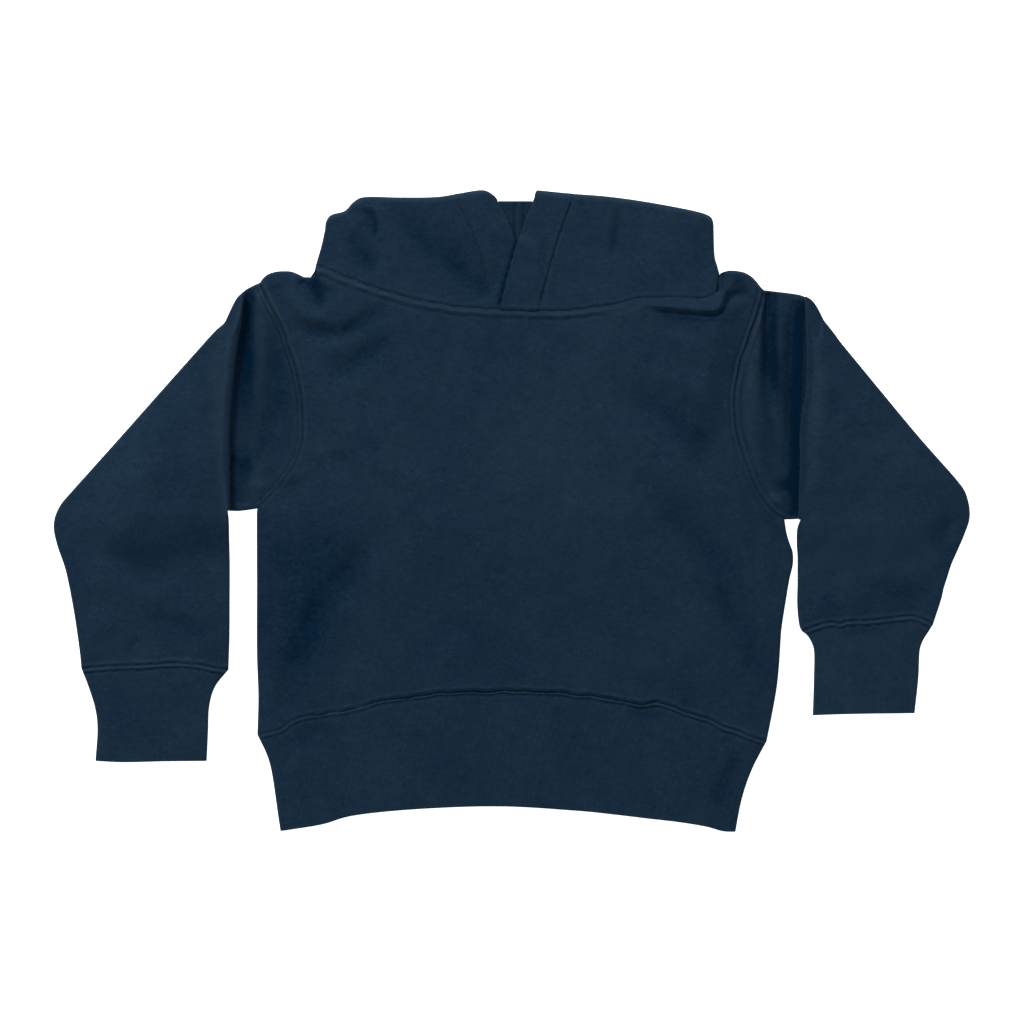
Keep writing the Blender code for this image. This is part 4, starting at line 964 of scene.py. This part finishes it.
hood = {
    "band": 22.0,         # hem round the face opening
    "length": 62,         # from the neck seam to the fold, and its cells
    "cell": 1.7,
    "bandRise": 0.3,
    # where the right edge of the opening lies over the left one: at the neck seam, and above
    "lift": {"left": (-1.6, -1.0), "right": (0.5, 1.75)},
    "nap": {"left": -0.12, "right": -0.05},
    "side": {
        "left": [(-125.4, 158.5), (-122, 168.6), (-119.6, 178)],
        "right": [(131.6, 141.1), (132.5, 147), (132.7, 151), (131.4, 155.6), (129.6, 162), (129.0, 178)],
    },
    "top": {
        "left": [(-120.6, 184.0), (-116, 189.8), (-107, 192.6), (-101.6, 198.2), (-94, 201.5),
                 (-72, 201.2), (-50, 201.4), (-35, 203.2), (-19, 205.6), (-13, 205.2), (-8.6, 202.8)],
        "right": [(129.8, 182.0), (127.6, 188.4), (117, 192.5), (87, 198.2), (61, 201.8), (35, 203.8),
                  (16.2, 205.6)],
    },
    "face": {
        "left": [(14.6, 130.6), (9.5, 148), (4.2, 170), (-0.6, 184), (-4.4, 192), (-8.8, 198.8)],
        "right": [(-7.6, 131.4), (-3.8, 148), (2.0, 168.5), (9.0, 187), (14.2, 199)],
    },
    # how far the edge of the face opening runs on outwards over the fold
    "slant": {"left": 4.8, "right": 1.2},
    # how far the band's line stands further from that edge: at the neck seam, half way up, and at the top
    "bandShift": {"left": (1.5, 2.9, 8.0), "right": (0.0, 2.7, 4.3)},
    "neckRidge": [(0.0, 0.75, -0.5), (2.2, 1.0, 0.15)],
    "bandRidge": {
        "left": [(0.6, 0.8, -0.65), (-1.2, 1.0, 0.1)],
        "right": [(0.4, 0.9, -0.75), (-1.3, 1.0, 0.15), (2.2, 1.0, 0.15)],
    },
    "centreRidge": [(-2.1, 0.75, -0.9), (0.4, 1.2, 0.5), (3.7, 0.75, -0.9)],
    # painted shade in the hood's hollows and under the other edge, and a little painted light
    "paintedShades": {
        "left": [
            stroke([(-96, 194.5), (-89.4, 190), (-87.4, 181), (-90, 173)], 2.4, -0.8),
            stroke([(-103, 172), (-95, 163), (-86, 153)], 6, -0.5),
            stroke([(-76, 187), (-59, 173), (-44, 161), (-29, 150), (-14, 137.5)], 7, -0.35, end=0.1),
            stroke([(-44, 161), (-29, 150), (-14, 137.5)], 6, -0.3, end=0.05),
            # in the shadow of the other edge
            stroke([(-8.5, 131.4), (-4.7, 148), (1.1, 168), (3.2, 175)], 1.5, -1.6, start=0.02, end=0.08),
        ],
        "right": [
            stroke([(69, 190), (65.5, 174), (64.4, 159)], 3.4, -0.5),
            stroke([(118, 190), (124, 170), (122, 152)], 9, -0.25),
            stroke([(86, 190), (92, 168), (84, 150)], 14, 0.15),
        ],
    },
    "folds": {
        "left": [
            stroke([(-104.6, 198), (-100, 195), (-94.6, 194), (-88.4, 189.6), (-86.2, 181), (-89.6, 172)],
                   1.6, -1.7, step=2.4, reach=6, start=0.05, end=0.3),
            stroke([(-112, 190), (-102, 187), (-96, 180)], 6, 1.0),
            stroke([(-106, 178), (-99, 171), (-92, 163), (-85, 154)], 5.5, -2.2),
            stroke([(-84, 172), (-78, 162), (-70, 154)], 6, 0.8),
            stroke([(-78, 196), (-66, 183), (-48, 168), (-32, 156), (-18, 144), (-11, 133)], 7.5, -1.9,
                   lean=0.2, end=0.15),
            stroke([(-44, 196), (-34, 182), (-26, 168)], 6, 0.7),
        ],
        "right": [
            stroke([(73, 202), (69, 194), (65.5, 180), (64, 160)], 1.9, -1.2, step=-0.7, reach=5,
                   start=0.1, end=0.3),
            stroke([(96, 196), (98, 172), (92, 152)], 12, 0.6),
            stroke([(118, 188), (122, 168), (120, 150)], 7, -0.6),
            stroke([(36, 196), (42, 176), (44, 152)], 9, 0.5),
            stroke([(76, 148), (96, 146), (116, 148)], 7, -0.6),
        ],
    },
}


bandPaths = {}      # where the hem of the face opening is stitched, as hoodPanel finds it


def hoodPanel(side):
    # From the seam up the back of the head, round the side, to the edge of the face opening.
    out = -1 if side == "left" else 1
    centre = hoodBehind["centre"]
    top, sideLine, face = (Outline(hood[key][side]) for key in ("top", "side", "face"))
    corner, rim = sideLine.points[0], sideLine.points[-1]
    frontNeck, backNeck = torso["lines"]["frontNeck"], torso["lines"]["backNeck"]
    centreX = centre + out * cloth["sewn"] / 2
    faceStart, faceEnd = face.points[0, 0], face.points[-1, 0]
    width = abs(corner[0] - centreX)
    band = hood["band"]

    def frontTop(x):
        return top.yAt(x) - foldDepth

    def backTop(x, share):
        # The back layer lies inside the fold, but reaches higher where it shows in the face opening.
        hidden = np.minimum(frontTop(x), hoodBehind["backTop"] - half) - 2 * smooth((1 - share) / 0.15)
        return hidden + 4.0 * smooth((17 - np.abs(x - 2)) / 7)

    def skin(inset):
        isOuter = inset == 0
        turned = 1 - insetSteps(edgeSteps, inset)[::-1] / width
        backSteps = np.concatenate([np.linspace(0, 14, 22)[:-1],
                                    np.linspace(14, width - edgeSteps[-1], 34)[:-1]]) / width
        beside = np.array([-3.4, -2.4, -1.6, -1.1, -0.7, -0.3, 0.1, 0.5, 0.9, 1.3, 1.9, 2.7, 3.6])
        frontSteps = np.unique(np.concatenate([edgeSteps[:-1], np.linspace(8.8, band - 5, 6), band + beside,
                                               np.linspace(band + 5.4, width - 9, 46)])) / width
        frontSteps = frontSteps[frontSteps < turned[0] - 0.004]
        share = np.concatenate([backSteps, turned, turned[:-1][::-1], frontSteps[::-1]])
        isFront = np.arange(len(share)) >= len(backSteps) + len(turned)
        rise = turnedRise((1 - share) * width, inset) * np.where(isFront, 1, -1)
        fromFace = share * width
        bandHeight = np.where(isFront, hood["bandRise"] * smooth((band + 0.7 - fromFace) / 1.4), 0)
        stitch = np.where(isFront, relief(hood["bandRidge"][side], fromFace - band), 0)
        draw = np.where(isFront, hemDraw(fromFace, cloth["fleece"] + hood["bandRise"]), 0)
        draw = draw * (-1 if isOuter else 1)
        height = rise * (half - inset)
        upper = np.clip(rise, 0, None)
        slant = np.where(isFront, out * hood["slant"][side] * (1 - share) ** 6, 0)
        grid, nap = [], []

        # Up from the neck seam to the fold.
        for v in steps(hood["length"], hood["cell"], last=edgeSteps[:1]) / hood["length"]:
            xSide, _ = sideLine.at(np.float64(v))
            xFace = face.at(np.float64(v))[0]
            near, far = np.where(isFront, faceStart, centreX), np.where(isFront, faceEnd, centreX)
            xNear, xFar = near + (corner[0] - near) * share, far + (rim[0] - far) * share
            yNear = np.where(isFront, frontNeck.yAt(xNear), backNeck.yAt(xNear)) + cloth["sewn"]
            yFar = np.where(isFront, frontTop(xFar), backTop(xFar, share))
            x, y = (1 - v) * xNear + v * xFar, (1 - v) * yNear + v * yFar
            x = x + (1 - share) * (np.where(isFront, xFace, centreX) - (1 - v) * near - v * far)
            x = x + share * (xSide - (1 - v) * corner[0] - v * rim[0])
            shift = np.interp(v, [0, 0.5, 1], hood["bandShift"][side])
            x = x + out * shift * np.exp(-((fromFace - band) / 12) ** 2) * isFront
            base = (1 - v ** 2) * torsoBase(x, y) + v ** 2 * pitch
            overlap = smooth((22 - x) / 7) * smooth((x + 16) / 8) * smooth((178 - y) / 8)
            lift = np.interp(v, [0.04, 0.2], hood["lift"][side]) * overlap
            folds = creases(hood["folds"][side], x, y) * smooth((1 - v) / 0.06)
            loft = np.maximum((torsoHeight(x, y) - tube) * (1 - v ** 2) + folds, lowest - tube)
            bandSeam = stitch * smooth(v / 0.14) * smooth((1 - v) / 0.05)
            seams = np.where(isFront, relief(hood["neckRidge"], np.abs(y - yNear)) + bandSeam, 0)
            gathers = np.where(isFront, pucker(frontNeck, x, y, 61, 0.7), 0)
            loft = loft + lift + bandHeight + draw + gathers + seams * (1 if isOuter else 0.3)
            centreSeam = np.where(isFront | isOuter, 0, relief(hood["centreRidge"], x - centre))
            grid.append(np.stack([x, y, base + half + height + upper * loft + centreSeam], axis=1))
            # painted light and shade of the folds and patches, painted rim light at the edge, and the back
            # layer painted darker, as shade in the face opening
            paintedLightAndTone = hood["nap"][side] + paintedReliefShading(folds) + creases(hood["paintedShades"][side], x, y)
            paintedLightAndTone = paintedLightAndTone * upper + cloth["paintedRimLight"] * (1 - np.abs(rise))
            nap.append(paintedSeamShading(seams if isOuter else centreSeam) + np.where(isFront, paintedLightAndTone, -0.5))
        topX = x

        # Over the fold. The inner layer has the smaller radius.
        topY = np.where(isFront, frontTop(topX), backTop(topX, share))
        for turn in np.linspace(0, math.pi, 15)[1:]:
            fade = math.cos(turn / 2) ** 2
            radius = pitch / 2 + height + upper * (bandHeight * fade + draw)
            outwards = slant * smooth(turn / 1.8)
            grid.append(np.stack([topX + outwards, topY + radius * math.sin(turn),
                                  foldDepth + radius * math.cos(turn)], axis=1))
            # painted rim light over the fold; the back layer's side of it is painted darker, as shade
            edge = cloth["paintedRimLight"] * math.sin(turn)
            nap.append(np.where(isFront, hood["nap"][side] + edge, -0.5) if turn < 1.6 else edge + 0 * topX)

        # Down behind the garment to the crown.
        rows = np.array(hoodBehind["rows"])
        rimX = faceEnd + out * hood["slant"][side]
        for v in np.linspace(0, 1, 48)[1:]:
            halfWidth = np.interp(v, rows[:, 0], rows[:, 1])
            opening = np.interp(v, rows[:, 0], rows[:, 2])
            opening += (abs(rimX - centre) - rows[0][2]) * (1 - v) ** 8
            first = centre + out * np.where(isFront, opening, cloth["sewn"] / 2)
            last = centre + out * (halfWidth + (abs(rim[0] - centre) - rows[0][1]) * (1 - v))
            x = first + (last - first) * share
            end = hoodBehind["backTop"] - hoodBehind["length"] + 0.0016 * (x - centre) ** 2
            y = (1 - v) * topY + v * end
            grid.append(np.stack([x, y, half - height - upper * draw], axis=1))
            nap.append(0 * topX)
        bandColumn = int(np.argmin(np.where(isFront, np.abs(fromFace - band), 1e9)))
        return np.array(grid), np.array(nap), bandColumn

    outer, outerPaintedShade, bandColumn = skin(0)
    inner, innerPaintedShade, _ = skin(cloth["fleece"])
    bandPaths[side] = outer[3:52:2, bandColumn]
    return clothWall(f"hood_{side}", outer, inner, nap=(outerPaintedShade, innerPaintedShade))


print("building the cloth")
pieces = {
    "Front": torsoPanel("front", True),
    "Back": torsoPanel("back", False),
    "Waistband": waist(),
}
for side in ("left", "right"):
    pieces[f"Sleeve_{side}"] = sleeve(side)
    pieces[f"Cuff_{side}"] = cuff(side)
    pieces[f"Hood_{side}"] = hoodPanel(side)


# Finishes

class Value:
    # Wraps a shader socket so that maths can be written as an expression.
    def __init__(self, tree, socket):
        self.tree, self.socket = tree, socket

    def maths(self, operation, *others):
        node = self.tree.nodes.new("ShaderNodeMath")
        node.operation = operation
        for place, other in zip(node.inputs, (self, *others)):
            if isinstance(other, Value):
                self.tree.links.new(other.socket, place)
            else:
                place.default_value = other
        return Value(self.tree, node.outputs[0])

    def __add__(self, other):
        return self.maths("ADD", other)

    def __mul__(self, other):
        return self.maths("MULTIPLY", other)

    def __sub__(self, other):
        return self.maths("SUBTRACT", other)

    def __rsub__(self, other):
        return (self * -1) + other

    def clamped(self, low, high):
        return self.maths("MAXIMUM", low).maths("MINIMUM", high)

    __radd__, __rmul__ = __add__, __mul__


class Finish:
    # A material made node by node.
    def __init__(self, name):
        self.material = bpy.data.materials.new(name)
        self.material.use_nodes = True
        self.tree = self.material.node_tree
        self.shader = self.tree.nodes["Principled BSDF"]

    def node(self, kind, settings=None, output=0, **sockets):
        node = self.tree.nodes.new(kind)
        for key, value in (settings or {}).items():
            setattr(node, key, value)
        for key, value in sockets.items():
            self.feed(node.inputs[key.replace("_", " ")], value)
        return Value(self.tree, node.outputs[output])

    def mix(self, factor, first, second):
        node = self.tree.nodes.new("ShaderNodeMix")
        node.data_type = "RGBA"
        for place, value in zip((0, 6, 7), (factor, first, second)):
            self.feed(node.inputs[place], (*value, 1) if isinstance(value, tuple) else value)
        return Value(self.tree, node.outputs[2])

    def feed(self, socket, value):
        if isinstance(value, Value):
            self.tree.links.new(value.socket, socket)
        else:
            socket.default_value = value

    def set(self, **sockets):
        for key, value in sockets.items():
            self.feed(self.shader.inputs[key.replace("_", " ")], value)


fleeceLook = {
    # the dark end is also the colour of the deepest painted shade
    "dark": (0.0006, 0.0095, 0.0262),
    "light": (0.0158, 0.0320, 0.0550),
    "speck": (0.028, 0.050, 0.080),
    "tone": 0.61,         # share of the light colour, and how much each unevenness changes it
    "uneven": {"soft": 0.3, "cloudy": 0.33, "mottled": 0.6, "grain": 1.1, "nap": 0.36},
    "scale": {"soft": 26, "cloudy": 95, "mottled": 290, "grain": 700, "fluff": 470, "patches": 70},
    "roughness": 1.0,
    "sheen": 0.045,
    "sheenTint": (0.55, 0.78, 1.0, 1.0),
    "specular": 0.0,
}


def fleeceFinish(name, look, ribs=0):
    finish = Finish(name)
    uv = finish.node("ShaderNodeUVMap", {"uv_map": "cloth"})
    place = finish.node("ShaderNodeTexCoord", output=3)
    nap = finish.node("ShaderNodeAttribute", {"attribute_name": "nap"}, output=2)

    def noise(scale, detail, stretch=(1, 1, 1), source=uv, rough=0.55):
        mapped = finish.node("ShaderNodeMapping", Vector=source, Scale=stretch)
        return finish.node("ShaderNodeTexNoise", Vector=mapped, Scale=scale, Detail=detail, Roughness=rough)

    scale, uneven = look["scale"], look["uneven"]
    soft = noise(scale["soft"], 2, source=place)
    cloudy = noise(scale["cloudy"], 2, source=place)
    mottled = noise(scale["mottled"], 3, (0.8, 1.2, 1), source=place, rough=0.6)
    grain = noise(scale["grain"], 3, (0.85, 1.15, 1), source=place, rough=0.7)
    fluff = noise(scale["fluff"], 1, (0.8, 1.2, 1))
    patchy = ((noise(scale["patches"], 1, source=place) - 0.44) * 4).clamped(0, 1)
    speck = (fluff - 0.64).maths("MAXIMUM", 0) * 4.0 * patchy * (nap * 0.9 + 1).clamped(0, 1)
    tone = look["tone"] + (soft - 0.5) * uneven["soft"] + (cloudy - 0.5) * uneven["cloudy"]
    tone = tone + (mottled - 0.5) * uneven["mottled"]
    tone = tone + (grain - 0.5) * uneven["grain"] * (0.5 + patchy * 0.5)
    # painted light and shade from the mesh, with each piece's tone, move the colour between dark and light
    tone = (tone + nap * uneven["nap"]).clamped(0, 1)
    colour = finish.mix(tone, look["dark"], look["light"])
    colour = finish.mix(speck.clamped(0, 0.5), colour, look["speck"])
    height = mottled * 0.5 + grain * 0.7 + fluff * 0.3
    if ribs:
        wave = finish.node("ShaderNodeTexWave", {"wave_type": "BANDS", "bands_direction": "X"}, output=1,
                           Vector=uv, Scale=ribs)
        height = height + wave * 0.35
    bump = finish.node("ShaderNodeBump", Strength=0.5, Distance=0.0005, Height=height)
    finish.set(Base_Color=colour, Roughness=look["roughness"], Normal=bump, Sheen_Weight=look["sheen"],
               Sheen_Roughness=0.6, Sheen_Tint=look["sheenTint"], Specular_IOR_Level=look["specular"])
    return finish.material


fleece = fleeceFinish("navyFleece", fleeceLook)
rib = fleeceFinish("navyRib", fleeceLook, ribs=75)

# Stitches along the seams, set on the cloth that they hold down
stitching = {
    "spacing": 2.9, "length": 2.2, "width": 0.38,
    "lift": 0.00004,      # in metres, over the cloth
    "probe": 1.5,         # between the places where the cloth's height is read
    "colour": (0.0100, 0.0245, 0.0470),
    "rows": [  # the piece, the line, how far to its right, and the stretch of it that is sewn
        ("Front", torso["lines"]["frontNeck"], 5.3, (0.02, 0.72)),
        ("Waistband", torso["lines"]["waistSeam"], 3.5, (0.01, 0.99)),
        ("Sleeve_left", torso["lines"]["armholes"]["left"], -3.1, (0.04, 0.98)),
        ("Front", torso["lines"]["armholes"]["right"], -3.5, (0.04, 0.98)),
        ("Sleeve_right", torso["lines"]["armholes"]["right"], 4.3, (0.04, 0.96)),
        ("Cuff_left", Outline(sleeves["left"]["cuffSeam"]), 3.7, (0.02, 0.98)),
        ("Cuff_right", Outline(sleeves["right"]["cuffSeam"]), -3.7, (0.02, 0.98)),
    ],
}


def threadFinish():
    finish = Finish("navyThread")
    place = finish.node("ShaderNodeTexCoord", output=3)
    twist = finish.node("ShaderNodeTexNoise", Vector=place, Scale=900.0, Detail=2.0)
    low, high = (tuple(share * part for part in stitching["colour"]) for share in (0.6, 1.3))
    bump = finish.node("ShaderNodeBump", Strength=0.3, Distance=0.0002, Height=twist)
    finish.set(Base_Color=finish.mix(twist, low, high), Roughness=0.8, Normal=bump, Specular_IOR_Level=0.15)
    return finish.material


def stitchPaths():
    paths = []
    for node, line, right, (start, end) in stitching["rows"]:
        bm = bmesh.new()
        bm.from_mesh(pieces[node].data)
        skin = BVHTree.FromBMesh(bm)
        path = []
        places = np.linspace(start, end, round(line.length / stitching["probe"]))
        for x, y in line.moved(right).at(places) * mm:
            hit = skin.ray_cast(Vector((x, y, 0.1)), Vector((0, 0, -1)))[0]
            if hit:
                path.append((x, y, hit.z + stitching["lift"]))
        bm.free()
        paths.append(path)
    for side in ("left", "right"):
        paths.append((bandPaths[side] * mm + (0, 0, stitching["lift"])).tolist())
    return paths


def stitchTree(thread):
    # Short rounded stitches in line along every edge of a mesh.
    tree = bpy.data.node_groups.new("seamStitches", "GeometryNodeTree")
    tree.interface.new_socket("Geometry", in_out="INPUT", socket_type="NodeSocketGeometry")
    inputs = {}
    for name in ("Spacing", "Length", "Width"):
        socket = tree.interface.new_socket(name, in_out="INPUT", socket_type="NodeSocketFloat")
        inputs[name] = socket.identifier
    tree.interface.new_socket("Geometry", in_out="OUTPUT", socket_type="NodeSocketGeometry")

    def node(kind, settings=None, **links):
        made = tree.nodes.new(kind)
        for name, value in (settings or {}).items():
            setattr(made, name, value)
        for name, value in links.items():
            socket = made.inputs[name.replace("_", " ")]
            if isinstance(value, bpy.types.NodeSocket):
                tree.links.new(value, socket)
            else:
                socket.default_value = value
        return made

    source = node("NodeGroupInput").outputs
    line = node("GeometryNodeMeshToCurve", Mesh=source["Geometry"]).outputs[0]
    spaced = node("GeometryNodeResampleCurve", {"mode": "LENGTH"}, Curve=line, Length=source["Spacing"])
    ball = node("GeometryNodeMeshUVSphere", Segments=6, Rings=4, Radius=0.5).outputs[0]
    size = node("ShaderNodeCombineXYZ", X=source["Length"], Y=source["Width"], Z=source["Width"]).outputs[0]
    stitch = node("GeometryNodeTransform", Geometry=ball, Scale=size).outputs[0]
    along = node("GeometryNodeInputTangent").outputs[0]
    turn = node("FunctionNodeAlignEulerToVector", Vector=along).outputs[0]
    placed = node("GeometryNodeInstanceOnPoints", Points=spaced.outputs[0], Instance=stitch, Rotation=turn)
    real = node("GeometryNodeRealizeInstances", Geometry=placed.outputs[0]).outputs[0]
    dyed = node("GeometryNodeSetMaterial", Geometry=real, Material=thread).outputs[0]
    node("NodeGroupOutput", Geometry=dyed)
    return tree, inputs


def sewing():
    thread = threadFinish()
    points, edges = [], []
    for path in stitchPaths():
        edges += [(k, k + 1) for k in range(len(points), len(points) + len(path) - 1)]
        points += path
    lines = bpy.data.meshes.new("stitches")
    lines.from_pydata(points, edges, [])
    piece = bpy.data.objects.new("stitches", lines)
    bpy.context.scene.collection.objects.link(piece)
    tree, inputs = stitchTree(thread)
    modifier = piece.modifiers.new("stitches", "NODES")
    modifier.node_group = tree
    for name, identifier in inputs.items():
        modifier[identifier] = stitching[name.lower()] * mm
    evaluated = piece.evaluated_get(bpy.context.evaluated_depsgraph_get())
    made = bpy.data.meshes.new_from_object(evaluated)
    piece.modifiers.remove(modifier)
    piece.data = made
    made.shade_smooth()
    print(f"stitches: {len(made.polygons)} faces")
    return piece


print("sewing")
stitches = sewing()
for node, piece in pieces.items():
    slot = "rib" if node.startswith(("Cuff", "Waist")) else "fleece"
    piece.data.materials.append(rib if slot == "rib" else fleece)
    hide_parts(node)
    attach(piece, "root")
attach(stitches, "root")

print("setting the scene")
studio = {
    "distance": 3.0, "frameWidth": 0.6554, "plane": 0.006,
    "floor": (0.94, 0.94, 0.94),
    "glow": 1.0,          # of the floor, which is a lit table
    "world": (0.30, 0.40, 0.47),
    "lamps": {            # place, width, power and colour
        "key": ((-0.95, 2.0, 1.65), 0.7, 74.0, (1.0, 0.90, 0.82)),
        "fill": ((0.5, -0.6, 2.8), 1.8, 8.0, (1.0, 1.0, 1.0)),
    },
}
floorMesh = bpy.data.meshes.new("floor")
floorMesh.from_pydata([(-4, -4, 0), (4, -4, 0), (4, 4, 0), (-4, 4, 0)], [], [(0, 1, 2, 3)])
floor = bpy.data.objects.new("floor", floorMesh)
floor.location.z = -0.0004
bpy.context.scene.collection.objects.link(floor)
floorFinish = Finish("paleFloor")
floorFinish.set(Base_Color=(*studio["floor"], 1), Roughness=0.9, Specular_IOR_Level=0.1,
                Emission_Color=(1, 1, 1, 1), Emission_Strength=studio["glow"])
floorMesh.materials.append(floorFinish.material)

world = bpy.data.worlds.new("studio")
world.use_nodes = True
world.node_tree.nodes["Background"].inputs["Color"].default_value = (*studio["world"], 1)
world.node_tree.nodes["Background"].inputs["Strength"].default_value = 1.0
bpy.context.scene.world = world

for name, (place, size, power, colour) in studio["lamps"].items():
    light = bpy.data.lights.new(name, "AREA")
    light.size, light.energy, light.color = size, power, colour
    lamp = bpy.data.objects.new(name, light)
    lamp.location = place
    lamp.rotation_euler = (-Vector(place)).to_track_quat("-Z", "Y").to_euler()
    bpy.context.scene.collection.objects.link(lamp)

camera = bpy.data.cameras.new("camera")
camera.sensor_width = 36
camera.lens = 36 * (studio["distance"] - studio["plane"]) / studio["frameWidth"]
view = bpy.data.objects.new("camera", camera)
view.location = (0, -0.0003, studio["distance"])
bpy.context.scene.collection.objects.link(view)
bpy.context.scene.camera = view
bpy.context.scene.view_settings.view_transform = "Standard"
